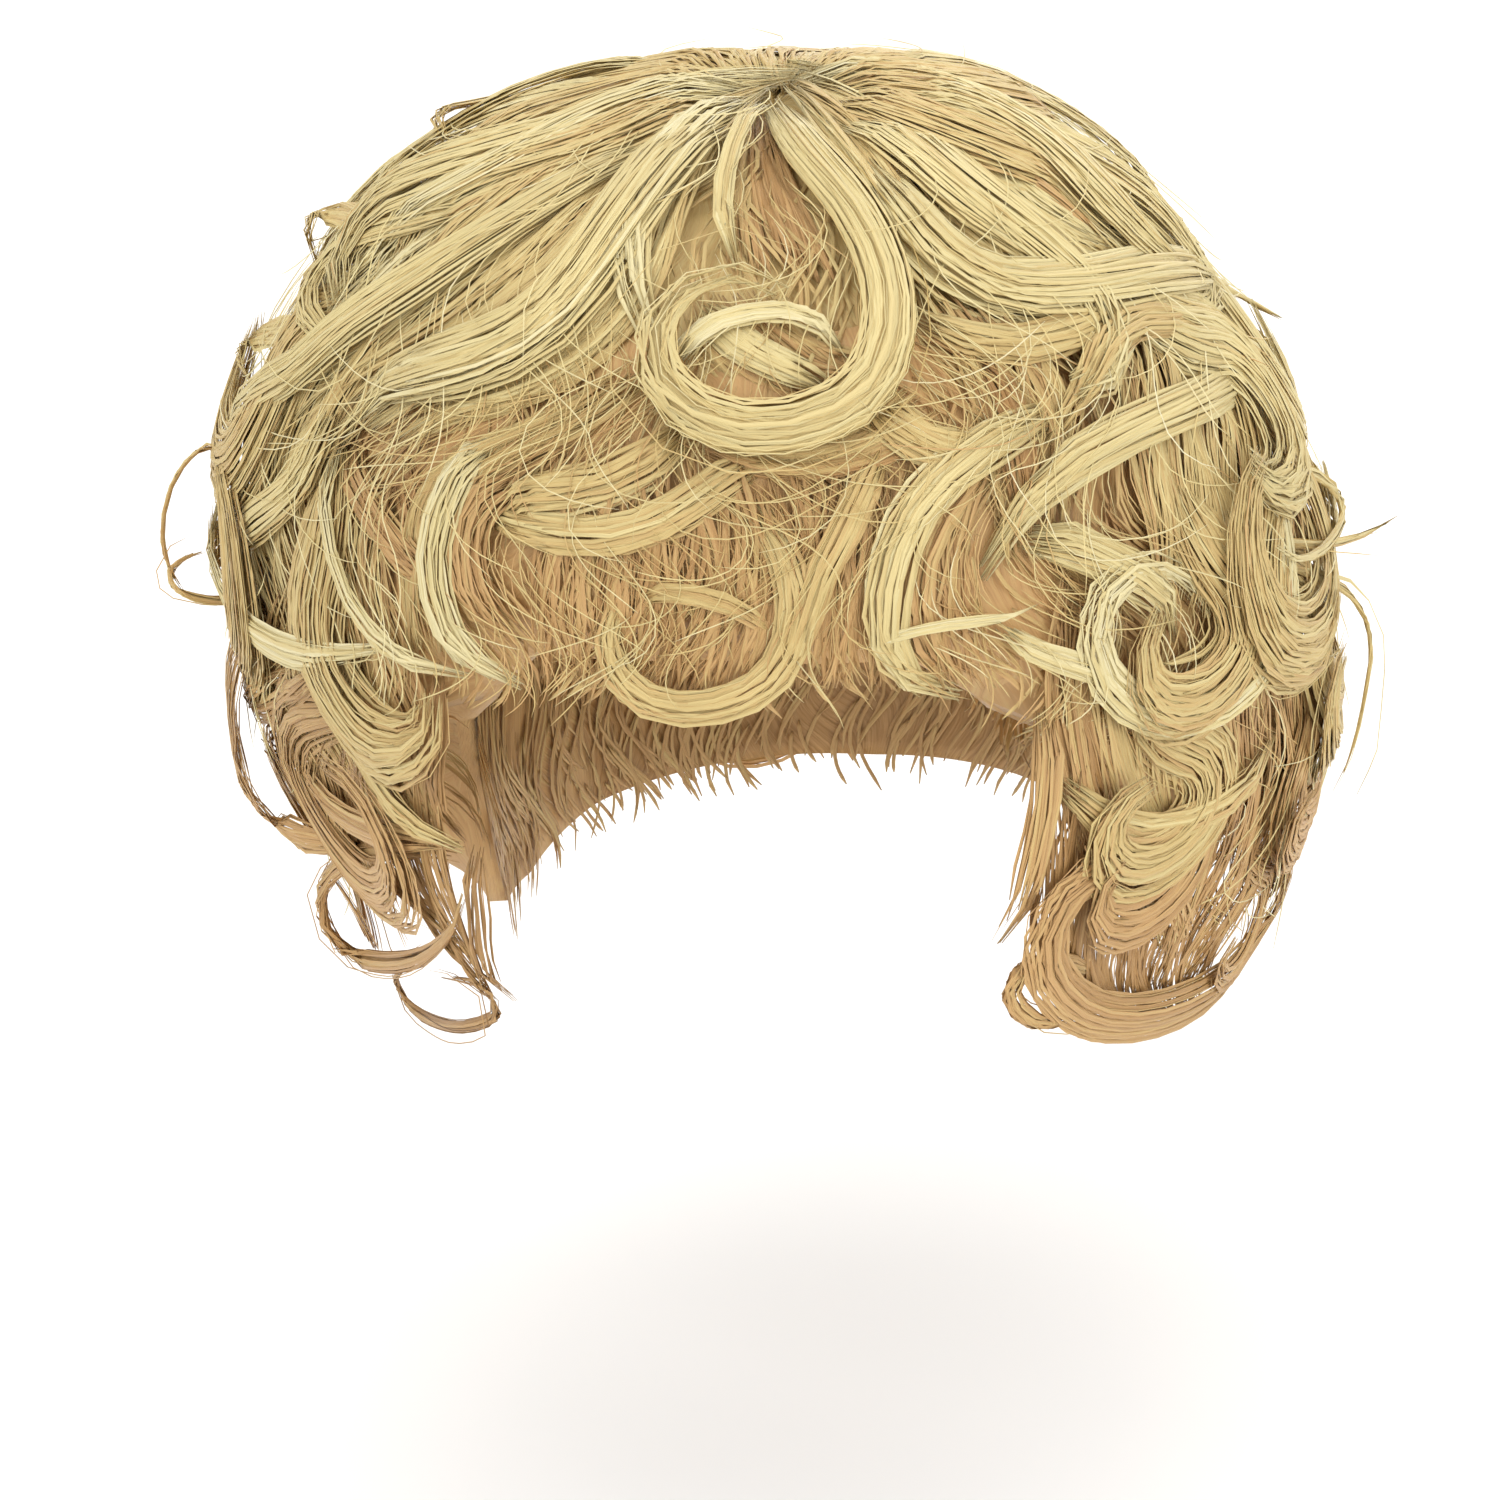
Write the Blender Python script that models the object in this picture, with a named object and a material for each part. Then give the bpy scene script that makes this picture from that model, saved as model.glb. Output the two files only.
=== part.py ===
"""Short wavy wig: a thin cap and seven pieces of curled hair fixed to it.

Lengths are in metres. The origin is the inside top of the cap, +Z is up and the front faces -Y. A
place is an azimuth and a polar angle, both in degrees, on the hollow that the cap and the hair stand
round. The azimuth is 0 at the front and grows towards +X. The polar angle is 0 at the top and 90 at
the widest level, below which the hollow runs on down at the same length to a degree. A lift is a
height above the hollow.
"""

import math
from collections import namedtuple

import bmesh
import bpy
from mathutils import Vector

HOLLOW_BREADTH = 0.154
HOLLOW_LENGTH = 0.194
DOME_HEIGHT = 0.098  # height of the inside top above the widest level
LOW_NARROWING = 0.12  # share by which the hollow narrows at the bottom of the hair

CAP_WALL = 0.002
GAP = 0.0003  # between neighbouring pieces

HAIR_LIFT = 0.045  # reach of the outermost curls at the sides
LOCK_WIDTH = 0.021
LOCK_THICKNESS = 0.012
BODY_DEPTH = 0.9  # share of a lock's thickness by which the hair below lies lower than its middle
ROOT_SINK = 0.5  # shares of a lock's thickness: how deep its root lies, and how far its tip stands out
TIP_RISE = 0.45
CURL_RADIUS = 0.019
CURL_CLOSING = 0.6  # share of its radius that a curl keeps at its tip
ROOT_WIDTH = 0.55  # shares of a lock's full width at its two ends
TIP_WIDTH = 0.3
ROOT_TAPER = 3  # how fast a lock widens from its root and from its tip
TIP_TAPER = 2.2
LEAST_THICKNESS = 0.4  # share of a lock's full thickness that it keeps where it is thinnest
CROWN_POLAR = 24  # polar angle inside which the body rises to the full height of the hair
EDGE_SHARE = 0.2  # share of the body's height over which its lower edge is rounded in
EDGE_LIFT = 0.5  # share of the hair's height that the body keeps at that edge

AZIMUTH_STEP = 15
POLAR_STEP = 12
LOWEST_POLAR = 156
LOCK_SIDES = 8
PATH_STEP = 0.008  # length of one section of a lock
FUSE_SIZE = 0.0028  # cell size at which the locks grow together
FUSE_SMOOTHING = 4
HAIR_FACES = 5690  # triangles of all the hair before it is parted
FINE_HAIR_FACES = 15000  # the same where the hair shows its shape most
LAP = 10  # degrees by which upper hair laps over lower hair at the outermost lift
CELL_REACH = 0.1  # lift to which a piece's bounds reach
RIM_REACH = 0.02  # how far the bounds that cut the rim of the cap reach to both sides of it
DOME_POLAR = 132  # lower edge of the cap's dome before its rim is cut
SHARP_ANGLE = 40

HAIR_COLOUR = (0.62, 0.50, 0.24, 1)
UNDER_HAIR_COLOUR = (0.50, 0.34, 0.15, 1)
CAP_COLOUR = (0.42, 0.33, 0.19, 1)

# Lower edge of the cap: polar angle at each azimuth of one side.
RIM = ((0, 60), (45, 72), (70, 86), (90, 95), (110, 100), (135, 112), (180, 122))

# Lower edge of the body of the hair: polar angle at each azimuth of one side.
HAIR_EDGE = (
    (0, 86), (30, 88), (42, 96), (50, 106), (57, 132), (66, 141), (90, 144), (120, 142), (180, 144),
)

# Height of the hair at each polar angle, as shares of HAIR_LIFT at azimuths 45 degrees apart.
LIFT_AZIMUTHS = (-180, -135, -90, -45, 0, 45, 90, 135, 180)
HAIR_HEIGHTS = (
    (0, (0.34, 0.34, 0.34, 0.34, 0.34, 0.34, 0.34, 0.34, 0.34)),
    (24, (0.42, 0.46, 0.50, 0.42, 0.38, 0.42, 0.46, 0.46, 0.42)),
    (48, (0.62, 0.74, 0.92, 0.62, 0.50, 0.56, 0.58, 0.66, 0.62)),
    (72, (0.72, 0.90, 1.20, 0.70, 0.40, 0.66, 0.82, 0.80, 0.72)),
    (90, (0.78, 0.94, 1.26, 0.70, 0.30, 0.70, 1.02, 0.90, 0.78)),
    (114, (0.76, 0.92, 1.16, 0.66, 0.30, 0.72, 1.08, 0.90, 0.76)),
    (132, (0.66, 0.80, 0.92, 0.60, 0.30, 0.68, 0.96, 0.80, 0.66)),
    (156, (0.52, 0.60, 0.60, 0.50, 0.30, 0.52, 0.70, 0.60, 0.52)),
)

# A cell bounds one piece of hair: azimuths from low to high, and polar angles from top to bottom.
Cell = namedtuple("Cell", "low high top bottom")
CROWN = Cell(-180, 180, 0, 48)
FOREHEAD = Cell(-24, 50, 33, 62)
FRINGE = Cell(-45, 45, 48, 96)
RIGHT_SIDE = Cell(-120, -30, 48, 156)
LEFT_SIDE = Cell(30, 120, 48, 156)
BACK = Cell(120, 240, 48, 102)
NAPE = Cell(120, 240, 102, 156)

Piece = namedtuple("Piece", "name cell without faces colour")
PIECES = (
    Piece("crown_hair", CROWN, (FOREHEAD,), HAIR_FACES, HAIR_COLOUR),
    Piece("forehead_curl", FOREHEAD, (), FINE_HAIR_FACES, HAIR_COLOUR),
    Piece("fringe_curls", FRINGE, (FOREHEAD,), HAIR_FACES, HAIR_COLOUR),
    Piece("right_side_curls", RIGHT_SIDE, (FRINGE,), HAIR_FACES, HAIR_COLOUR),
    Piece("left_side_curls", LEFT_SIDE, (FRINGE, FOREHEAD), HAIR_FACES, HAIR_COLOUR),
    Piece("back_curls", BACK, (), HAIR_FACES, HAIR_COLOUR),
    Piece("nape_curls", NAPE, (), HAIR_FACES, UNDER_HAIR_COLOUR),
)

# A lock runs from its root to a bend with a sideways bow, then curls: places in degrees, the bow and
# the curl's radius as shares of CURL_RADIUS, the curl's turn in degrees, the width as a share of
# LOCK_WIDTH, and how far the tip stands out as a share of LOCK_THICKNESS. A positive bow or turn goes
# the way of the outward direction crossed with the lock's own, so towards +X for a lock that runs down
# the front.
Lock = namedtuple(
    "Lock", "azimuth polar to_azimuth to_polar bow radius turn width rise", defaults=(TIP_RISE,)
)
COMBED_LOCKS = (
    # Over the top, forward and to the sides
    Lock(20, 12, 38, 46, 0.6, 1.25, -400, 0.72, 1.0),
    Lock(-4, 14, -24, 30, -0.5, 1.1, 60, 0.9),
    Lock(-14, 26, -46, 58, -0.5, 1.3, 70, 1.2),
    Lock(-60, 14, -62, 44, -0.3, 1.2, -80, 1.3),
    Lock(-100, 12, -86, 56, -0.4, 1.0, 60, 1.4),
    Lock(-130, 16, -112, 50, -0.4, 1.3, -120, 1.3),
    Lock(-38, 36, -50, 60, 0.3, 1.0, 150, 1.0),
    Lock(62, 14, 46, 44, -0.6, 1.4, 80, 1.3),
    Lock(85, 16, 66, 46, 0.3, 1.2, 120, 1.2),
    Lock(110, 14, 92, 50, 0.3, 1.1, -90, 1.4),
    Lock(134, 16, 116, 50, 0.3, 1.2, 100, 1.3),
    Lock(158, 16, 146, 48, 0.3, 1.3, -90, 1.3),
    Lock(178, 16, 176, 50, 0.3, 1.3, 100, 1.3),
    Lock(-158, 16, -150, 48, 0.3, 1.3, 90, 1.3),
    # Short curls of the fringe
    Lock(-40, 56, -44, 68, -0.5, 1.6, 120, 1.1),
    Lock(-24, 60, -22, 72, -0.4, 1.0, 220, 0.9),
    Lock(12, 66, 12, 72, 0.5, 1.0, -330, 0.8),
    Lock(30, 56, 34, 66, 0.2, 0.9, -200, 0.9),
    Lock(44, 54, 32, 68, -0.5, 1.1, 120, 1.0),
    # The side at -X, from the front back
    Lock(-56, 54, -72, 66, -0.4, 1.2, 260, 1.1),
    Lock(-80, 56, -88, 68, -0.3, 1.5, 300, 1.2),
    Lock(-104, 54, -108, 68, 0.3, 1.2, -240, 1.2),
    Lock(-52, 70, -62, 84, -0.4, 1.3, 200, 1.1),
    Lock(-74, 80, -84, 94, -0.3, 1.2, -250, 1.2),
    Lock(-100, 80, -104, 94, 0.3, 1.2, 240, 1.2),
    Lock(-52, 92, -56, 108, -0.4, 1.1, 200, 1.0),
    Lock(-70, 100, -78, 116, 0.4, 1.1, 230, 1.1),
    Lock(-98, 104, -104, 118, -0.3, 1.2, -220, 1.1),
    Lock(-56, 112, -57, 124, 0.3, 0.8, -250, 0.8),
    Lock(-66, 122, -68, 136, 0.3, 0.8, 250, 0.8),
    Lock(-84, 124, -88, 138, 0.3, 0.9, -250, 0.9),
    Lock(-108, 126, -110, 138, 0.3, 0.9, 250, 0.9),
    # The side at +X, from the front back
    Lock(52, 54, 70, 60, 0.5, 1.2, -210, 1.1),
    Lock(80, 54, 92, 64, 0.4, 1.4, -280, 1.2),
    Lock(106, 54, 110, 68, 0.3, 1.2, 240, 1.2),
    Lock(50, 68, 60, 76, 0.4, 1.4, -260, 1.2),
    Lock(76, 76, 88, 86, 0.3, 1.3, -260, 1.2),
    Lock(102, 80, 106, 94, 0.3, 1.2, 240, 1.2),
    Lock(48, 88, 56, 100, 0.4, 1.2, 250, 1.1),
    Lock(68, 96, 78, 104, 0.5, 1.5, -260, 1.2),
    Lock(98, 104, 104, 116, 0.3, 1.2, -220, 1.1),
    Lock(54, 112, 60, 124, 0.4, 1.1, 230, 1.0),
    Lock(70, 120, 80, 130, 0.4, 1.1, -230, 1.0),
    Lock(98, 126, 102, 138, 0.3, 1.0, 240, 0.9),
)

# Rows of like curls round the back: polar angles of root and bend, how many, and the lock's own shape.
CurlRow = namedtuple("CurlRow", "low high count polar to_polar lean radius turn width")
BACK_ROWS = (
    CurlRow(132, 228, 5, 54, 68, 6, 1.3, 250, 1.2),
    CurlRow(128, 232, 5, 78, 92, -6, 1.3, -250, 1.2),
    CurlRow(132, 228, 5, 102, 114, 6, 1.2, 240, 1.1),
    CurlRow(130, 230, 6, 124, 136, -6, 1.0, -250, 0.9),
)


def between(table, at):
    """Value of a table of (place, value) rows, straight between its rows."""
    for (low, first), (high, second) in zip(table, table[1:]):
        if at <= high:
            return first + (second - first) * max(at - low, 0) / (high - low)
    return table[-1][1]


def smooth(share):
    """Share from 0 to 1, eased at both ends."""
    share = min(max(share, 0), 1)
    return share * share * (3 - 2 * share)


def wrapped(azimuth):
    """The same azimuth between -180 and 180 degrees."""
    return (azimuth + 180) % 360 - 180


def on_hollow(azimuth, polar, lift=0):
    """Point above this place of the hollow."""
    turn = math.radians(azimuth)
    tilt = math.radians(min(polar, 90))
    drop = math.radians(max(polar - 90, 0)) * DOME_HEIGHT
    narrow = 1 - LOW_NARROWING * smooth((polar - 90) / (LOWEST_POLAR - 90))
    half_x = HOLLOW_BREADTH / 2
    half_y = HOLLOW_LENGTH / 2
    x = half_x * math.sin(tilt) * math.sin(turn)
    y = -half_y * math.sin(tilt) * math.cos(turn)
    outward = Vector((x / half_x**2, y / half_y**2, math.cos(tilt) / DOME_HEIGHT)).normalized()
    base = Vector((x * narrow, y * narrow, DOME_HEIGHT * (math.cos(tilt) - 1) - drop))
    return base + outward * lift


def place_of(point):
    """Azimuth and polar angle of a point that lies near the inside of the cap."""
    across = point.x / (HOLLOW_BREADTH / 2)
    along = -point.y / (HOLLOW_LENGTH / 2)
    azimuth = math.degrees(math.atan2(across, along))
    if point.z < -DOME_HEIGHT:
        return azimuth, 90 + math.degrees((-DOME_HEIGHT - point.z) / DOME_HEIGHT)
    return azimuth, math.degrees(math.atan2(math.hypot(across, along), 1 + point.z / DOME_HEIGHT))


def outward_at(azimuth, polar):
    """Direction away from the hollow at a place."""
    return (on_hollow(azimuth, polar, GAP) - on_hollow(azimuth, polar)).normalized()


def hair_height(azimuth, polar):
    """Lift of the outside of the hair at a place."""
    azimuth = wrapped(azimuth)
    column = min(int((azimuth - LIFT_AZIMUTHS[0]) / 45), len(LIFT_AZIMUTHS) - 2)
    share = smooth((azimuth - LIFT_AZIMUTHS[column]) / 45)
    rows = [
        (row, heights[column] + (heights[column + 1] - heights[column]) * share)
        for row, heights in HAIR_HEIGHTS
    ]
    return between(rows, polar) * HAIR_LIFT


def new_object(name, mesh, colour):
    """Object in the scene with a hair-like material of its own."""
    made = bpy.data.objects.new(name, mesh)
    bpy.context.scene.collection.objects.link(made)
    material = bpy.data.materials.new(name)
    material.use_nodes = True
    shader = material.node_tree.nodes["Principled BSDF"]
    shader.inputs["Base Color"].default_value = colour
    shader.inputs["Roughness"].default_value = 0.5
    made.data.materials.append(material)
    return made


def helper(name, body):
    """Hidden object that only shapes others."""
    mesh = bpy.data.meshes.new(name)
    bmesh.ops.recalc_face_normals(body, faces=body.faces)
    body.to_mesh(mesh)
    body.free()
    made = bpy.data.objects.new(name, mesh)
    bpy.context.scene.collection.objects.link(made)
    made.hide_render = True
    made.display_type = "WIRE"
    return made


def steps(low, high, step):
    """Values from low to high whose inner ones are multiples of a step."""
    first = math.floor(low / step) + 1
    last = math.ceil(high / step)
    return [low] + [step * count for count in range(first, last)] + [high]


def slab(azimuths, polars, inner, outer):
    """Closed mesh between two lifted surfaces; each is a function of azimuth and polar angle to a point.

    The azimuths may go right round, and the first polar angle may be 0. All four-sided faces are split
    along the same diagonal, so that two slabs with the same places run side by side.
    """
    body = bmesh.new()
    whole = azimuths[-1] - azimuths[0] == 360
    domed = polars[0] == 0
    columns = azimuths[:-1] if whole else azimuths
    sheets = []
    for surface in (inner, outer):
        rows = []
        for polar in polars:
            if polar == 0:
                pole = body.verts.new(surface(0, 0))
                rows.append([pole] * len(columns))
            else:
                rows.append([body.verts.new(surface(azimuth, polar)) for azimuth in columns])
        sheets.append(rows)

    def strip(first, second):
        """Two triangles between each pair of neighbours of two rows, without flat ones."""
        count = len(first) if whole else len(first) - 1
        for index in range(count):
            after = (index + 1) % len(first)
            for corners in (
                (first[index], first[after], second[after]),
                (first[index], second[after], second[index]),
            ):
                if len(set(corners)) == 3:
                    body.faces.new(corners)

    for rows in sheets:
        for first, second in zip(rows, rows[1:]):
            strip(first, second)
    inside, outside = sheets
    strip(inside[-1], outside[-1])
    if not domed:
        strip(inside[0], outside[0])
    if not whole:
        for side in (0, -1):
            for row in range(len(polars) - 1):
                lower = (inside[row][side], outside[row][side], outside[row + 1][side])
                upper = (inside[row][side], outside[row + 1][side], inside[row + 1][side])
                for corners in (lower, upper):
                    if len(set(corners)) == 3:
                        body.faces.new(corners)
    return body


def grown(cell, margin):
    """Azimuths and polar angles of a cell, with all its sides moved out by a length."""
    middle = min(max((cell.top + cell.bottom) / 2, 30), 90)
    sideways = math.degrees(margin / (math.sin(math.radians(middle)) * HOLLOW_BREADTH / 2))
    upright = math.degrees(margin / DOME_HEIGHT)
    whole = cell.high - cell.low == 360
    low = cell.low if whole else cell.low - sideways
    high = cell.high if whole else cell.high + sideways
    azimuths = steps(cell.low, cell.high, AZIMUTH_STEP)
    azimuths[0] = low
    azimuths[-1] = high
    polars = steps(cell.top, cell.bottom, POLAR_STEP)
    polars[0] = max(cell.top - upright, 0) if cell.top else 0
    polars[-1] = cell.bottom + upright
    return azimuths, polars


def cell_body(name, cell, margin, deeper):
    """Closed bounds of a cell; its upper and lower sides slope, so that upper hair laps over lower."""
    azimuths, polars = grown(cell, margin)

    def lapped(lift):
        """Surface at this lift, which lies further down the higher it is."""
        lap = LAP * lift / CELL_REACH
        return lambda azimuth, polar: on_hollow(azimuth, polar + (lap if polar else 0), lift)

    foot = lapped(CAP_WALL + GAP - deeper)
    return helper(name, slab(azimuths, polars, foot, lapped(CELL_REACH + deeper)))


def hair_body():
    """Body of the hair under its locks, all round."""
    azimuths = steps(-180, 180, AZIMUTH_STEP)
    rows = LOWEST_POLAR // POLAR_STEP + 1

    def place(azimuth, polar):
        """The grid's rows follow the lower edge of the hair."""
        return polar * between(HAIR_EDGE, abs(azimuth)) / LOWEST_POLAR

    def inside(azimuth, polar):
        """Point inside the wall of the cap, which the cell then cuts off."""
        return on_hollow(azimuth, place(azimuth, polar), CAP_WALL / 2)

    def outside(azimuth, polar):
        """Point below the locks, level with them at the crown and rounded in at the lower edge."""
        at = place(azimuth, polar)
        sunk = LOCK_THICKNESS * BODY_DEPTH * smooth(at / CROWN_POLAR)
        rounded = 1 - (1 - EDGE_LIFT) * smooth((polar / LOWEST_POLAR - 1 + EDGE_SHARE) / EDGE_SHARE)
        return on_hollow(azimuth, at, max((hair_height(azimuth, at) - sunk) * rounded, 3 * CAP_WALL))

    polars = [LOWEST_POLAR * index / rows for index in range(rows + 1)]
    return slab(azimuths, polars, inside, outside)


def lock_path(lock):
    """Points along a lock: a bowed run to its bend, and a curl that closes towards the tip."""

    def raised(point, share):
        """The point moved to the height of the hair there, higher towards the tip."""
        azimuth, polar = place_of(point)
        rise = LOCK_THICKNESS * ((lock.rise + ROOT_SINK) * share - ROOT_SINK)
        return on_hollow(azimuth, polar, hair_height(azimuth, polar) + rise)

    start = on_hollow(lock.azimuth, lock.polar)
    end = on_hollow(lock.to_azimuth, lock.to_polar)
    outward = outward_at(lock.azimuth, lock.polar) + outward_at(lock.to_azimuth, lock.to_polar)
    side = outward.cross(end - start).normalized()
    count = max(round((end - start).length / PATH_STEP), 2)
    flat = []
    for index in range(count + 1):
        share = index / count
        bow = lock.bow * CURL_RADIUS * math.sin(math.pi * share)
        flat.append(start.lerp(end, share) + side * bow)

    heading = (flat[-1] - flat[-2]).normalized()
    base = flat[-1]
    turned = 0
    while turned < abs(lock.turn):
        share = turned / abs(lock.turn)
        radius = lock.radius * CURL_RADIUS * (1 - (1 - CURL_CLOSING) * share)
        angle = PATH_STEP / radius
        azimuth, polar = place_of(base)
        outward = outward_at(azimuth, polar)
        heading = (heading - outward * heading.dot(outward)).normalized()
        across = outward.cross(heading)
        bend = math.copysign(angle, lock.turn)
        heading = heading * math.cos(bend) + across * math.sin(bend)
        base = base + heading * PATH_STEP
        base = on_hollow(*place_of(base))
        flat.append(base)
        turned += math.degrees(angle)
    last = len(flat) - 1
    return [raised(point, index / last) for index, point in enumerate(flat)]


def add_lock(body, lock):
    """Adds one lock to a mesh as a flattened tube, thin at its root and tip."""
    path = lock_path(lock)
    rings = []
    for index, point in enumerate(path):
        before = path[max(index - 1, 0)]
        after = path[min(index + 1, len(path) - 1)]
        ahead = (after - before).normalized()
        outward = outward_at(*place_of(point))
        outward = (outward - ahead * outward.dot(ahead)).normalized()
        across = outward.cross(ahead)
        share = index / (len(path) - 1)
        full = min(ROOT_WIDTH + share * ROOT_TAPER, 1, TIP_WIDTH + (1 - share) * TIP_TAPER)
        half_width = lock.width * LOCK_WIDTH / 2 * full
        half_thickness = LOCK_THICKNESS / 2 * (LEAST_THICKNESS + (1 - LEAST_THICKNESS) * full)
        ring = []
        for corner in range(LOCK_SIDES):
            turn = 2 * math.pi * corner / LOCK_SIDES
            offset = across * half_width * math.cos(turn) + outward * half_thickness * math.sin(turn)
            ring.append(body.verts.new(point + offset))
        rings.append(ring)
    for first, second in zip(rings, rings[1:]):
        for index in range(LOCK_SIDES):
            after = (index + 1) % LOCK_SIDES
            body.faces.new((first[index], first[after], second[after], second[index]))
    body.faces.new(rings[0])
    body.faces.new(rings[-1])


def back_locks():
    """Locks of the rows round the back."""
    for row in BACK_ROWS:
        for index in range(row.count):
            azimuth = row.low + (row.high - row.low) * index / (row.count - 1)
            turn = row.turn if index % 2 else -row.turn
            yield Lock(
                azimuth, row.polar, azimuth + row.lean, row.to_polar, 0.3, row.radius, turn, row.width
            )


def boolean(made, operation, other, solver="EXACT"):
    """Modifier that keeps or cuts what lies in another object."""
    cut = made.modifiers.new(operation.lower(), "BOOLEAN")
    cut.operation = operation
    cut.object = other
    cut.solver = solver


def largest_island(mesh):
    """Removes all but the largest body of a mesh, where bodies that share only an edge are two."""
    body = bmesh.new()
    body.from_mesh(mesh)
    bmesh.ops.triangulate(body, faces=body.faces)
    left = set(body.faces)
    islands = []
    while left:
        island = set()
        open_ends = [left.pop()]
        while open_ends:
            face = open_ends.pop()
            island.add(face)
            for edge in face.edges:
                if len(edge.link_faces) > 2:
                    continue
                for other in edge.link_faces:
                    if other in left:
                        left.remove(other)
                        open_ends.append(other)
        islands.append(island)
    islands.sort(key=len)
    for island in islands[:-1]:
        bmesh.ops.delete(body, geom=list(island), context="FACES")
    body.to_mesh(mesh)
    body.free()


def evaluated_mesh(made):
    """New mesh that an object's modifiers make."""
    graph = bpy.context.evaluated_depsgraph_get()
    return bpy.data.meshes.new_from_object(made.evaluated_get(graph))


def settle(made):
    """Replaces an object's modifiers by the mesh that they make."""
    mesh = evaluated_mesh(made)
    made.modifiers.clear()
    largest_island(mesh)
    made.data = mesh
    for polygon in mesh.polygons:
        polygon.use_smooth = True
    mesh.set_sharp_from_angle(angle=math.radians(SHARP_ANGLE))


def build_cap():
    """The cap: a thin dome, cut to its rim."""
    azimuths = steps(-180, 180, AZIMUTH_STEP)
    polars = steps(0, DOME_POLAR, POLAR_STEP)
    dome = slab(
        azimuths,
        polars,
        lambda azimuth, polar: on_hollow(azimuth, polar),
        lambda azimuth, polar: on_hollow(azimuth, polar, CAP_WALL),
    )
    bmesh.ops.recalc_face_normals(dome, faces=dome.faces)
    mesh = bpy.data.meshes.new("cap")
    dome.to_mesh(mesh)
    dome.free()
    cap = new_object("cap", mesh, CAP_COLOUR)

    def rim_place(azimuth, polar):
        """The bounds' last row lies on the rim."""
        return polar * between(RIM, abs(azimuth))

    bounds = helper(
        "cap_bounds",
        slab(
            azimuths,
            [0, 0.5, 1],
            lambda azimuth, share: on_hollow(azimuth, rim_place(azimuth, share), -RIM_REACH),
            lambda azimuth, share: on_hollow(azimuth, rim_place(azimuth, share), RIM_REACH),
        ),
    )
    boolean(cap, "INTERSECT", bounds)
    settle(cap)


def fused_hair(face_counts):
    """Meshes of all the hair: its body and its locks, grown together and brought down to few faces."""
    body = hair_body()
    for lock in list(COMBED_LOCKS) + list(back_locks()):
        add_lock(body, lock)
    hair = helper("fused_hair", body)
    fuse = hair.modifiers.new("fuse", "REMESH")
    fuse.mode = "VOXEL"
    fuse.voxel_size = FUSE_SIZE
    soften = hair.modifiers.new("soften", "SMOOTH")
    soften.iterations = FUSE_SMOOTHING
    fine = evaluated_mesh(hair)
    thin = hair.modifiers.new("thin_out", "DECIMATE")
    fused = {}
    for count in face_counts:
        thin.ratio = count / (2 * len(fine.polygons))
        fused[count] = evaluated_mesh(hair)
    bpy.data.meshes.remove(fine)
    bpy.data.objects.remove(hair)
    return fused


def build_hair(piece, fused):
    """One piece of the hair: what of it lies in the piece's cell.

    Thinned-out faces can cross a little, and the exact solver then leaves nothing of a piece.
    """
    hair = new_object(piece.name, fused.copy(), piece.colour)
    bounds = cell_body(piece.name + "_bounds", piece.cell, -GAP / 2, 0)
    boolean(hair, "INTERSECT", bounds, "MANIFOLD")
    for cell in piece.without:
        neighbour = cell_body(piece.name + "_cut", cell, GAP / 2, CAP_WALL / 2)
        boolean(hair, "DIFFERENCE", neighbour, "MANIFOLD")
    settle(hair)


def main():
    """Builds the cap and each piece of hair."""
    for old in list(bpy.data.objects):
        bpy.data.objects.remove(old)
    build_cap()
    fused = fused_hair((HAIR_FACES, FINE_HAIR_FACES))
    for piece in PIECES:
        build_hair(piece, fused[piece.faces])


main()
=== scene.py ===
"""Looks of the short wavy wig: a knitted cap and seven pieces of curled hair under studio light.

Lengths are in metres. The origin is the inside top of the cap, +Z is up and the front faces -Y. A
place is an azimuth and a polar angle, both in degrees, on the hollow that the hair stands round. The
azimuth is 0 at the front and grows towards +X. The polar angle is 0 at the top and 90 at the widest
level. A lift is a height above the hollow.
"""

import logging
import math
from dataclasses import dataclass, field
from enum import Enum

import bpy
import numpy as np
from mathutils import Matrix, Vector


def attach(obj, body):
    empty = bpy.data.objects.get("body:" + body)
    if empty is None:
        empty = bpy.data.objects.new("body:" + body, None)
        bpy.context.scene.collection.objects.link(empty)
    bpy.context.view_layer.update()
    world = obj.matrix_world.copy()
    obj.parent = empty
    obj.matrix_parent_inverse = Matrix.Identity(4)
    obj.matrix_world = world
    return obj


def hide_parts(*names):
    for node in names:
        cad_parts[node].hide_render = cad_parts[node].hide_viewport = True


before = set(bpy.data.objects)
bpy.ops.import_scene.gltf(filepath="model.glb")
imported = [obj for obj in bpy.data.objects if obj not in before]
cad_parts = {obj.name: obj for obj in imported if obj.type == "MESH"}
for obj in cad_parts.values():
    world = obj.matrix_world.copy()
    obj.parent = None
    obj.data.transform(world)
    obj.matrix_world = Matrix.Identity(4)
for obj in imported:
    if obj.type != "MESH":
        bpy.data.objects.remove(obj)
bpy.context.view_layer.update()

SEED = 11
BAKE_MAP = "OFBake"  # the map of the surface that the finishes read
TONE = "tone"
TONE_RANGE = (0.05, 0.96)  # tones stay inside the scale of colours
DEGREES = 57.3  # in a radian, for the length of a wave

log = logging.getLogger("wig")


class Shade(Enum):
    """Places on the scale of hair colours, from the darkest fibres to the palest."""

    BROWN = 0.26
    HONEY = 0.4
    GOLD = 0.58
    BLOND = 0.7
    PALE = 0.8


class Lay(Enum):
    """How the strands of a lock lie together."""

    LOCK = "lock"  # round a core
    LOOSE = "loose"  # all round, with little core
    SOFT = "soft"  # side by side in a low bulge over the form, with no core


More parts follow.
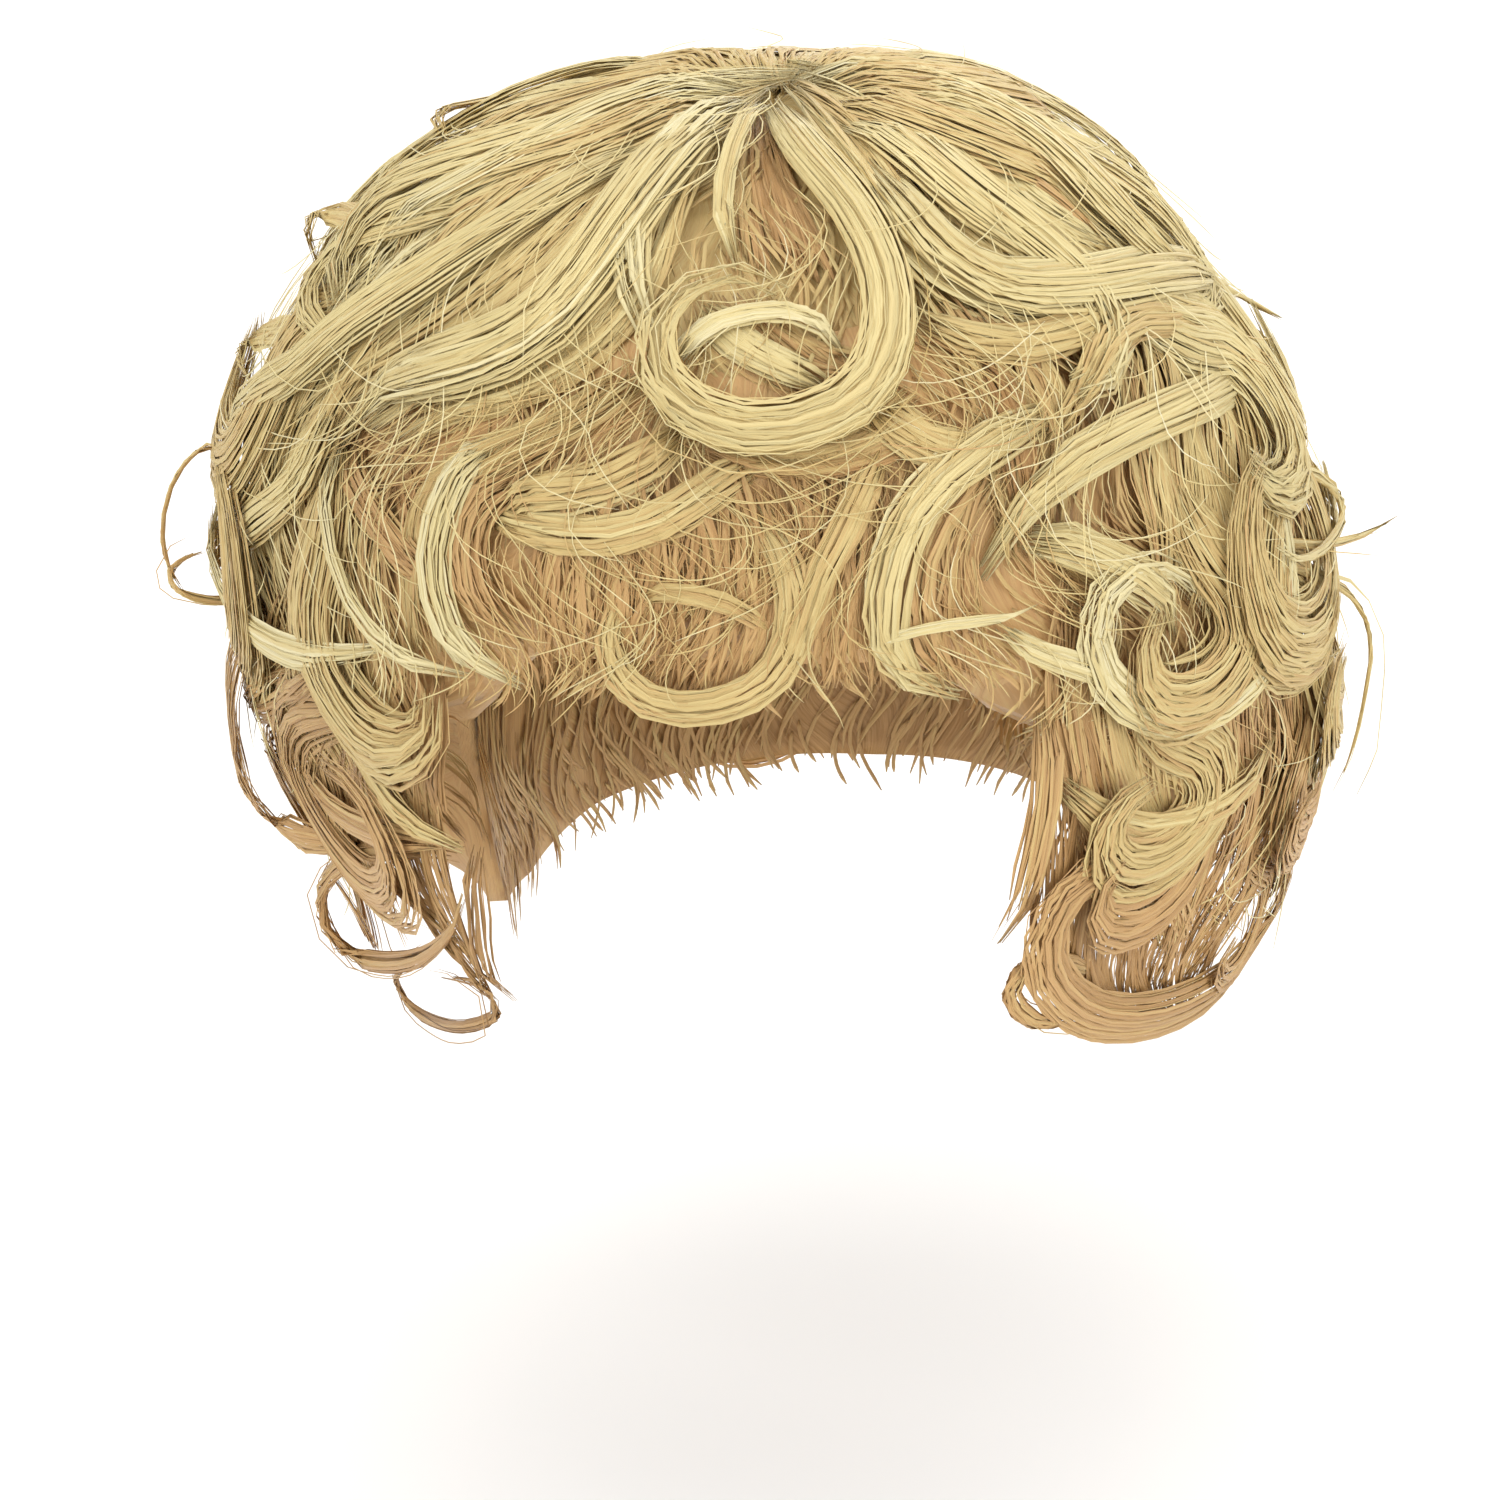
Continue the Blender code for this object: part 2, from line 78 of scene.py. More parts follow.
class Light(Enum):
    """Parts that the studio's lights play."""

    KEY = "key"
    FILL = "fill"
    TOP = "top"
    BACK = "back"


def srgb(code: str) -> tuple[float, float, float, float]:
    """Turns a display colour into the linear colour that a shader reads.

    Args:
        code: Colour as "#RRGGBB".

    Returns:
        Linear red, green, blue and an alpha of 1.
    """
    values = [int(code[index : index + 2], 16) / 255 for index in (1, 3, 5)]
    linear = [value / 12.92 if value <= 0.04045 else ((value + 0.055) / 1.055) ** 2.4 for value in values]
    return linear[0], linear[1], linear[2], 1.0


def unit(vectors: np.ndarray) -> np.ndarray:
    """Scales vectors to length 1.

    Args:
        vectors: Array whose last axis holds x, y and z.

    Returns:
        Array of the same shape.
    """
    return vectors / np.maximum(np.linalg.norm(vectors, axis=-1, keepdims=True), 1e-9)


def smooth(share: np.ndarray) -> np.ndarray:
    """Eases shares from 0 to 1 at both ends.

    Args:
        share: Values, of which those below 0 and above 1 are cut off.

    Returns:
        Eased values.
    """
    share = np.clip(share, 0.0, 1.0)
    return share * share * (3.0 - 2.0 * share)


def read_along(table: np.ndarray, shares: np.ndarray) -> np.ndarray:
    """Reads a row of vectors at places between its first and its last.

    Args:
        table: Vectors, one per row.
        shares: Places from 0 to 1, in an array of any shape.

    Returns:
        Vectors in an array with one axis more than shares.
    """
    at = np.clip(shares, 0.0, 1.0) * (len(table) - 1)
    low = np.minimum(at.astype(int), len(table) - 2)
    part = (at - low)[..., None]
    return table[low] * (1 - part) + table[low + 1] * part


@dataclass(frozen=True)
class HairForm:
    """Hollow that the hair stands round, and the height of the hair above it."""

    breadth: float = 0.154
    length: float = 0.194
    dome_height: float = 0.098
    narrowing: float = 0.12
    lowest_polar: float = 156.0
    wall: float = 0.0023
    reach: float = 0.045
    azimuth_step: float = 45.0
    search_rounds: int = 6  # rounds in which the place below a point is found
    polars: tuple[float, ...] = (0, 24, 48, 72, 90, 114, 132, 156)
    # Shares of the reach, a row for each polar angle and a column for each azimuth from -180 up
    heights: tuple[tuple[float, ...], ...] = (
        (0.34, 0.34, 0.34, 0.34, 0.34, 0.34, 0.34, 0.34, 0.34),
        (0.42, 0.46, 0.50, 0.42, 0.38, 0.42, 0.46, 0.46, 0.42),
        (0.62, 0.74, 0.92, 0.62, 0.50, 0.56, 0.58, 0.66, 0.62),
        (0.72, 0.90, 1.20, 0.70, 0.40, 0.66, 0.82, 0.80, 0.72),
        (0.78, 0.94, 1.26, 0.70, 0.30, 0.70, 1.02, 0.90, 0.78),
        (0.76, 0.92, 1.16, 0.66, 0.30, 0.72, 1.08, 0.90, 0.76),
        (0.66, 0.80, 0.92, 0.60, 0.30, 0.68, 0.96, 0.80, 0.66),
        (0.52, 0.60, 0.60, 0.50, 0.30, 0.52, 0.70, 0.60, 0.52),
    )
    # Lower edge of the hair: azimuths of one side, and the polar angle at each
    edge_azimuths: tuple[float, ...] = (0, 30, 42, 50, 57, 66, 90, 120, 180)
    edge_polars: tuple[float, ...] = (86, 88, 96, 106, 132, 141, 144, 142, 144)

    def outward(self, azimuth: np.ndarray, polar: np.ndarray) -> np.ndarray:
        """Gives the directions away from the hollow.

        Args:
            azimuth: Azimuths in degrees.
            polar: Polar angles in degrees.

        Returns:
            Unit vectors.
        """
        turn = np.radians(azimuth)
        tilt = np.radians(np.minimum(polar, 90.0))
        return unit(
            np.stack(
                [
                    np.sin(tilt) * np.sin(turn) / (self.breadth / 2),
                    -np.sin(tilt) * np.cos(turn) / (self.length / 2),
                    np.cos(tilt) / self.dome_height,
                ],
                axis=-1,
            )
        )

    def at(self, azimuth: np.ndarray, polar: np.ndarray, lift: np.ndarray) -> np.ndarray:
        """Gives points above places of the hollow.

        Args:
            azimuth: Azimuths in degrees.
            polar: Polar angles in degrees.
            lift: Heights above the hollow.

        Returns:
            Points.
        """
        turn = np.radians(azimuth)
        tilt = np.radians(np.minimum(polar, 90.0))
        drop = np.radians(np.maximum(polar - 90.0, 0.0)) * self.dome_height
        narrow = 1 - self.narrowing * smooth((polar - 90.0) / (self.lowest_polar - 90.0))
        base = np.stack(
            [
                self.breadth / 2 * np.sin(tilt) * np.sin(turn) * narrow,
                -self.length / 2 * np.sin(tilt) * np.cos(turn) * narrow,
                self.dome_height * (np.cos(tilt) - 1) - drop,
            ],
            axis=-1,
        )
        return base + self.outward(azimuth, polar) * np.asarray(lift)[..., None]

    def place_of(self, points: np.ndarray) -> tuple[np.ndarray, np.ndarray, np.ndarray]:
        """Finds the places that points stand above.

        Args:
            points: Points outside the hollow.

        Returns:
            Azimuths, polar angles and lifts.
        """
        base = points
        for _ in range(self.search_rounds):
            across = base[..., 0] / (self.breadth / 2)
            along = -base[..., 1] / (self.length / 2)
            height = 1 + base[..., 2] / self.dome_height
            azimuth = np.degrees(np.arctan2(across, along))
            above = np.degrees(np.arctan2(np.hypot(across, along), height))
            polar = np.where(height > 0, above, 90.0 - np.degrees(height))
            outward = self.outward(azimuth, polar)
            lift = ((points - self.at(azimuth, polar, 0.0 * polar)) * outward).sum(-1)
            base = points - outward * lift[..., None]
        return azimuth, polar, lift

    def height(self, azimuth: np.ndarray, polar: np.ndarray) -> np.ndarray:
        """Gives the lift of the outer locks of the hair.

        Args:
            azimuth: Azimuths in degrees.
            polar: Polar angles in degrees.

        Returns:
            Lifts.
        """
        table = np.array(self.heights)
        levels = np.array(self.polars, dtype=float)
        at = ((np.asarray(azimuth) + 180.0) % 360.0) / self.azimuth_step
        column = np.minimum(at.astype(int), table.shape[1] - 2)
        share = smooth(at - column)
        row = np.clip(np.searchsorted(levels, polar, side="right") - 1, 0, len(levels) - 2)
        part = np.clip((polar - levels[row]) / (levels[row + 1] - levels[row]), 0.0, 1.0)
        upper = table[row, column] * (1 - share) + table[row, column + 1] * share
        lower = table[row + 1, column] * (1 - share) + table[row + 1, column + 1] * share
        return (upper + (lower - upper) * part) * self.reach

    def edge(self, azimuth: np.ndarray) -> np.ndarray:
        """Gives the lower edge of the hair.

        Args:
            azimuth: Azimuths in degrees.

        Returns:
            Polar angles.
        """
        wrapped = (np.asarray(azimuth) + 180.0) % 360.0 - 180.0
        return np.interp(np.abs(wrapped), self.edge_azimuths, self.edge_polars)


@dataclass(frozen=True)
class StudioView:
    """The camera of the photograph, which also places locks that are drawn in its pixels."""

    width: int = 1505
    height: int = 1500
    yaw: float = 11.5
    pitch: float = 22.0
    roll: float = -3.0
    distance: float = 1.2
    scale: float = 4500.0  # pixels to a metre at the anchor
    anchor: tuple[float, float, float] = (0.0, -0.085, -0.118)
    anchor_pixel: tuple[float, float] = (731.0, 767.0)
    sensor: float = 36.0
    search: float = 0.2  # how far to both sides of the anchor a ray is followed
    search_step: float = 0.001

    def axes(self) -> tuple[np.ndarray, np.ndarray, np.ndarray]:
        """Gives the camera's directions.

        Returns:
            Right, up and back, as unit vectors.
        """
        turn, tilt, lean = (math.radians(value) for value in (self.yaw, self.pitch, self.roll))
        back = np.array(
            [math.sin(turn) * math.cos(tilt), -math.cos(turn) * math.cos(tilt), math.sin(tilt)]
        )
        level = np.array([math.cos(turn), math.sin(turn), 0.0])
        upright = np.cross(back, level)
        right = level * math.cos(lean) + upright * math.sin(lean)
        return right, upright * math.cos(lean) - level * math.sin(lean), back

    def eye(self) -> np.ndarray:
        """Gives the place of the camera.

        Returns:
            Its point.
        """
        right, upright, back = self.axes()
        across = (self.anchor_pixel[0] - self.width / 2) / self.scale
        above = (self.height / 2 - self.anchor_pixel[1]) / self.scale
        return np.array(self.anchor) - right * across - upright * above + back * self.distance

    def focal_length(self) -> float:
        """Gives the focal length.

        Returns:
            Focal length in pixels.
        """
        return self.scale * self.distance

    def onto(self, form: HairForm, pixel: tuple[float, float], rise: float) -> np.ndarray:
        """Finds the point of the hair's outside that shows at a pixel, or the nearest to its ray.

        Args:
            form: Form of the hair.
            pixel: Pixel from the left and from the top.
            rise: Height above the hair's outer locks.

        Returns:
            The point.
        """
        right, upright, back = self.axes()
        across = (pixel[0] - self.width / 2) / self.focal_length()
        above = (self.height / 2 - pixel[1]) / self.focal_length()
        ray = right * across + upright * above - back
        depth = np.arange(self.distance - self.search, self.distance + self.search, self.search_step)
        points = self.eye() + ray * depth[:, None]
        azimuth, polar, lift = form.place_of(points)
        over = lift - form.height(azimuth, polar) - rise
        inside = np.nonzero(over < 0)[0]
        return points[inside[0] if len(inside) else int(over.argmin())]

    def add_camera(self) -> None:
        """Adds the camera and makes it the scene's own."""
        bpy.ops.object.camera_add()
        camera = bpy.context.object
        camera.name = "photo_camera"
        right, upright, back = self.axes()
        turned = Matrix((right, upright, back)).transposed().to_4x4()
        camera.matrix_world = Matrix.Translation(Vector(self.eye())) @ turned
        camera.data.sensor_width = self.sensor
        camera.data.lens = self.focal_length() * self.sensor / self.width
        bpy.context.scene.camera = camera


def curve_through(points: np.ndarray, count: int = 160, steps: int = 16) -> np.ndarray:
    """Draws a smooth curve through points.

    Args:
        points: Points that the curve passes.
        count: Number of points returned, evenly spaced by length.
        steps: Fine steps between two of the points passed.

    Returns:
        Points of the curve.
    """
    padded = np.vstack([2 * points[0] - points[1], points, 2 * points[-1] - points[-2]])
    at = np.linspace(0, 1, steps, endpoint=False)[:, None]
    runs = []
    for index in range(len(points) - 1):
        before, first, second, after = padded[index : index + 4]
        runs.append(
            0.5
            * (
                2 * first
                + (second - before) * at
                + (2 * before - 5 * first + 4 * second - after) * at**2
                + (3 * first - before - 3 * second + after) * at**3
            )
        )
    fine = np.vstack(runs + [points[-1:]])
    lengths = np.concatenate([[0], np.cumsum(np.linalg.norm(np.diff(fine, axis=0), axis=1))])
    even = np.linspace(0, lengths[-1], count)
    return np.stack([np.interp(even, lengths, fine[:, axis]) for axis in range(3)], axis=-1)


@dataclass(frozen=True)
class Stroke:
    """Lock that is drawn in pixels of the studio view."""

    pixels: tuple[tuple[float, float], ...]
    width: float
    shade: Shade
    rise: tuple[float, ...] = (0.0, 0.003)
    flatness: float = 0.42
    lay: Lay = Lay.SOFT
    tip_sink: float = 0.005  # how far the tip dives under its neighbours

    def path(self, form: HairForm, view: StudioView) -> np.ndarray:
        """Lays the stroke on the hair.

        Args:
            form: Form of the hair.
            view: View that the pixels belong to.

        Returns:
            Points of the lock's middle.
        """
        last = len(self.pixels) - 1
        places = np.linspace(0, last, len(self.rise))
        rises = np.interp(np.arange(last + 1), places, self.rise)
        points = np.array([view.onto(form, pixel, rise) for pixel, rise in zip(self.pixels, rises)])
        return curve_through(points)


@dataclass(frozen=True)
class Curl:
    """Lock that runs from a root to a bend with a sideways bow and then curls on the hair's form."""

    azimuth: float
    polar: float
    to_azimuth: float
    to_polar: float
    bow: float
    radius: float
    turn: float
    width: float
    shade: Shade
    rise: tuple[float, float] = (-0.004, 0.005)
    flatness: float = 0.42
    closing: float = 0.6
    step: float = 0.004
    lay: Lay = Lay.SOFT
    tip_sink: float = 0.0

    def path(self, form: HairForm, view: StudioView) -> np.ndarray:
        """Lays the curl on the hair.

        Args:
            form: Form of the hair.
            view: Studio view, which a curl doesn't need.

        Returns:
            Points of the lock's middle.
        """
        start = form.at(np.array(self.azimuth), np.array(self.polar), np.array(0.0))
        end = form.at(np.array(self.to_azimuth), np.array(self.to_polar), np.array(0.0))
        outward = form.outward(
            np.array([self.azimuth, self.to_azimuth]), np.array([self.polar, self.to_polar])
        ).sum(0)
        side = unit(np.cross(outward, end - start))
        count = max(round(float(np.linalg.norm(end - start)) / self.step), 2)
        flat = [
            start + (end - start) * share + side * self.bow * math.sin(math.pi * share)
            for share in np.linspace(0, 1, count + 1)
        ]
        heading = unit(flat[-1] - flat[-2])
        turned = 0.0
        while turned < abs(self.turn):
            radius = self.radius * (1 - (1 - self.closing) * turned / abs(self.turn))
            azimuth, polar, _ = form.place_of(flat[-1])
            outward = form.outward(azimuth, polar)
            heading = unit(heading - outward * heading.dot(outward))
            bend = math.copysign(self.step / radius, self.turn)
            heading = heading * math.cos(bend) + np.cross(outward, heading) * math.sin(bend)
            azimuth, polar, _ = form.place_of(flat[-1] + heading * self.step)
            flat.append(form.at(azimuth, polar, 0.0 * polar))
            turned += math.degrees(self.step / radius)
        azimuth, polar, _ = form.place_of(np.array(flat))
        rise = np.linspace(self.rise[0], self.rise[1], len(flat))
        return curve_through(form.at(azimuth, polar, form.height(azimuth, polar) + rise)[::2])


@dataclass(frozen=True)
class CurlRow:
    """Row of like curls side by side, every second one turned the other way."""

    low: float
    high: float
    count: int
    polar: float
    to_polar: float
    lean: float
    bow: float
    radius: float
    turn: float
    width: float
    shade: Shade
    rise: tuple[float, float] = (-0.004, 0.005)
    scatter: float = 3.0

    def curls(self, random: np.random.Generator) -> list[Curl]:
        """Makes the row's curls, each a little different.

        Args:
            random: Seeded source of the differences.

        Returns:
            The curls.
        """
        made = []
        for index, azimuth in enumerate(np.linspace(self.low, self.high, self.count)):
            way = 1 if index % 2 else -1
            shift, drop, lean = random.uniform(-1, 1, 3) * self.scatter
            made.append(
                Curl(
                    azimuth + shift,
                    self.polar + drop,
                    azimuth + shift + self.lean + lean,
                    self.to_polar + drop,
                    self.bow * way,
                    self.radius * random.uniform(0.7, 1.3),
                    self.turn * way * random.uniform(0.7, 1.2),
                    self.width * random.uniform(0.8, 1.4),
                    self.shade,
                    self.rise,
                )
            )
        return made


@dataclass
class MeshParts:
    """Vertices, faces and surface map of a mesh that is put together from many small shapes."""

    points: list[np.ndarray] = field(default_factory=list)
    corners: list[np.ndarray] = field(default_factory=list)
    sizes: list[np.ndarray] = field(default_factory=list)
    maps: list[np.ndarray] = field(default_factory=list)
    tones: list[np.ndarray] = field(default_factory=list)
    used: int = 0
    triangles: int = 0
    strands: bool = False  # whether all the shapes are three-sided strands

    def add(self, points: np.ndarray, faces: list[np.ndarray], maps: list[np.ndarray], tone: float) -> None:
        """Adds one shape.

        Args:
            points: Its points.
            faces: Arrays of faces, each with its own number of corners.
            maps: Surface map of the corners of each of those arrays.
            tone: Tone of the shape.
        """
        for group, places in zip(faces, maps):
            self.corners.append(group.ravel() + self.used)
            self.sizes.append(np.full(len(group), group.shape[1]))
            self.maps.append(places.reshape(-1, 2))
            self.triangles += len(group) * (group.shape[1] - 2)
        self.points.append(points)
        self.tones.append(np.full(len(points), tone))
        self.used += len(points)

    def build(self, name: str) -> bpy.types.Object:
        """Makes the object.

        Args:
            name: Name of the object.

        Returns:
            The object, smooth all over.
        """
        points = np.concatenate(self.points).astype(np.float32)
        corners = np.concatenate(self.corners).astype(np.int32)
        sizes = np.concatenate(self.sizes)
        starts = np.concatenate([[0], np.cumsum(sizes)[:-1]]).astype(np.int32)
        mesh = bpy.data.meshes.new(name)
        mesh.vertices.add(len(points))
        mesh.vertices.foreach_set("co", points.ravel())
        mesh.loops.add(len(corners))
        mesh.loops.foreach_set("vertex_index", corners)
        mesh.polygons.add(len(starts))
        mesh.polygons.foreach_set("loop_start", starts)
        mesh.update(calc_edges=True)
        mesh.shade_smooth()
        if self.strands:
            # The two lower edges of a strand stay sharp, so that its sides don't shade its top
            ends = np.empty(len(mesh.edges) * 2, dtype=np.int32)
            mesh.edges.foreach_get("vertices", ends)
            first, second = np.sort(ends.reshape(-1, 2), axis=1).T
            sharp = mesh.attributes.new("sharp_edge", "BOOLEAN", "EDGE")
            sharp.data.foreach_set("value", (second - first == 3) & (first % 3 != 1))
        layer = mesh.uv_layers.new(name=BAKE_MAP)
        layer.data.foreach_set("uv", np.concatenate(self.maps).astype(np.float32).ravel())
        tone = mesh.attributes.new(TONE, "FLOAT", "POINT")
        tone.data.foreach_set("value", np.concatenate(self.tones).astype(np.float32))
        made = bpy.data.objects.new(name, mesh)
        bpy.context.scene.collection.objects.link(made)
        return made


def tube_faces(count: int, stations: int, sides: int) -> list[np.ndarray]:
    """Lists the faces of closed tubes whose points come ring by ring.

    Args:
        count: Number of tubes.
        stations: Rings to a tube.
        sides: Points to a ring.

    Returns:
        Four-sided faces round the tubes, then the faces at their starts and at their ends.
    """
    ring = np.arange(count * stations * sides).reshape(count, stations, sides)
    after = np.roll(ring, -1, axis=2)
    round_faces = np.stack([ring[:, :-1], after[:, :-1], after[:, 1:], ring[:, 1:]], axis=-1)
    return [round_faces.reshape(-1, 4), ring[:, 0, ::-1], ring[:, -1]]


@dataclass(frozen=True)
class Strand:
    """Cross-section of one kind of strand, and how many of it lie on a lock."""

    half_width: float
    half_height: float
    per_metre: float  # strands to a metre of a lock's width
    tone_reach: float  # how far the tone changes from a strand's middle to its edges
    tone_spread: float
    stray_share: float
    depths: tuple[float, float]  # share of the lock's thickness at which it lies


# Fibres that cling together in a flat ribbon, which fill a lock
RIBBON = Strand(0.0005, 0.00012, 2000.0, 0.022, 0.045, 0.04, (0.86, 1.0))
# A single fibre, coarser than the real 0.08 mm, which the picture can't show
FIBRE = Strand(0.00014, 0.00012, 850.0, 0.004, 0.07, 0.2, (0.98, 1.12))


@dataclass(frozen=True)
class LockStyle:
    """Outline and unevenness of a lock's strands."""

    fewest: int = 4
    turn_step: float = 40.0  # degrees of bend, and length, that a strand may have to a section
    length_step: float = 0.034
    most_sections: int = 18
    sway: float = 0.16
    clumps: float = 7.0
    soft_clumps: float = 3.0
    stray_reach: float = 0.007
    root_width: float = 0.5
    tip_width: float = 0.3
    root_sink: float = 0.003
    core_end: float = 0.9  # the core stops short of the strands' tips
    core_share: float = 0.82
    loose_core_share: float = 0.45
    loose_fullness: float = 1.4  # strands of a loose lock, which show all round
    soft_layer: float = 0.0005  # half the depth over which the strands of a soft lock are spread

    def fullness(self, share: np.ndarray) -> np.ndarray:
        """Gives the width of a lock along it.

        Args:
            share: Places along the lock from 0 to 1.

        Returns:
            Shares of its full width.
        """
        rising = self.root_width + (1 - self.root_width) * smooth(share / 0.22)
        falling = self.tip_width + (1 - self.tip_width) * smooth((1 - share) / 0.34)
        return np.minimum(rising, falling)

    def sink(self, share: np.ndarray, tip: float) -> np.ndarray:
        """Gives how far a lock lies lower at its two ends, where it comes out of and dives under others.

        Args:
            share: Places along the lock from 0 to 1.
            tip: Depth at the tip.

        Returns:
            Depths.
        """
        return self.root_sink * (1 - smooth(share / 0.15)) + tip * (1 - smooth((1 - share) / 0.25))


def add_strands(
    parts: MeshParts,
    points: np.ndarray,
    normals: np.ndarray,
    shares: np.ndarray,
    tones: np.ndarray,
    strand: Strand,
) -> None:
    """Adds closed, three-sided strands that lie flat on a surface.

    The surface map holds the tone across a strand and the place along its lock up it.

    Args:
        parts: Mesh that takes the strands.
        points: Middles of the strands: strand, station, axis.
        normals: Directions away from the surface at those points.
        shares: Places of those points along their lock, from 0 to 1.
        tones: Tone of each strand.
        strand: Its cross-section.
    """
    count, stations = shares.shape
    ahead = unit(np.gradient(points, axis=1))
    rising = unit(normals - ahead * (normals * ahead).sum(-1, keepdims=True))
    edge = np.cross(rising, ahead)
    own = np.linspace(0, 1, stations)
    thin = np.minimum(1, 0.3 + 5 * np.minimum(own, 1 - own))[None, :, None]
    wide = edge * strand.half_width * thin
    high = rising * strand.half_height * thin
    rings = np.stack([points + wide - high, points + high, points - wide - high], axis=2)

    across = strand.tone_reach * np.array([-1.0, 1.0, -0.7])
    u_low = np.broadcast_to(tones[:, None, None] + across, (count, stations - 1, 3))
    u_high = np.broadcast_to(tones[:, None, None] + np.roll(across, -1), u_low.shape)
    v_low = np.broadcast_to(shares[:, :-1, None], u_low.shape)
    v_high = np.broadcast_to(shares[:, 1:, None], u_low.shape)
    corners = [(u_low, v_low), (u_high, v_low), (u_high, v_high), (u_low, v_high)]
    maps = [np.stack([np.stack(corner, -1) for corner in corners], axis=3)]
    for station in (0, -1):
        end_u = tones[:, None] + across
        end_v = np.clip(shares[:, station, None], 0.01, 0.99)
        end_v = end_v + strand.tone_reach * np.array([0.0, 1.0, 0.0])
        maps.append(np.stack([end_u, end_v], -1))
    parts.add(rings.reshape(-1, 3), tube_faces(count, stations, 3), maps, float(tones.mean()))


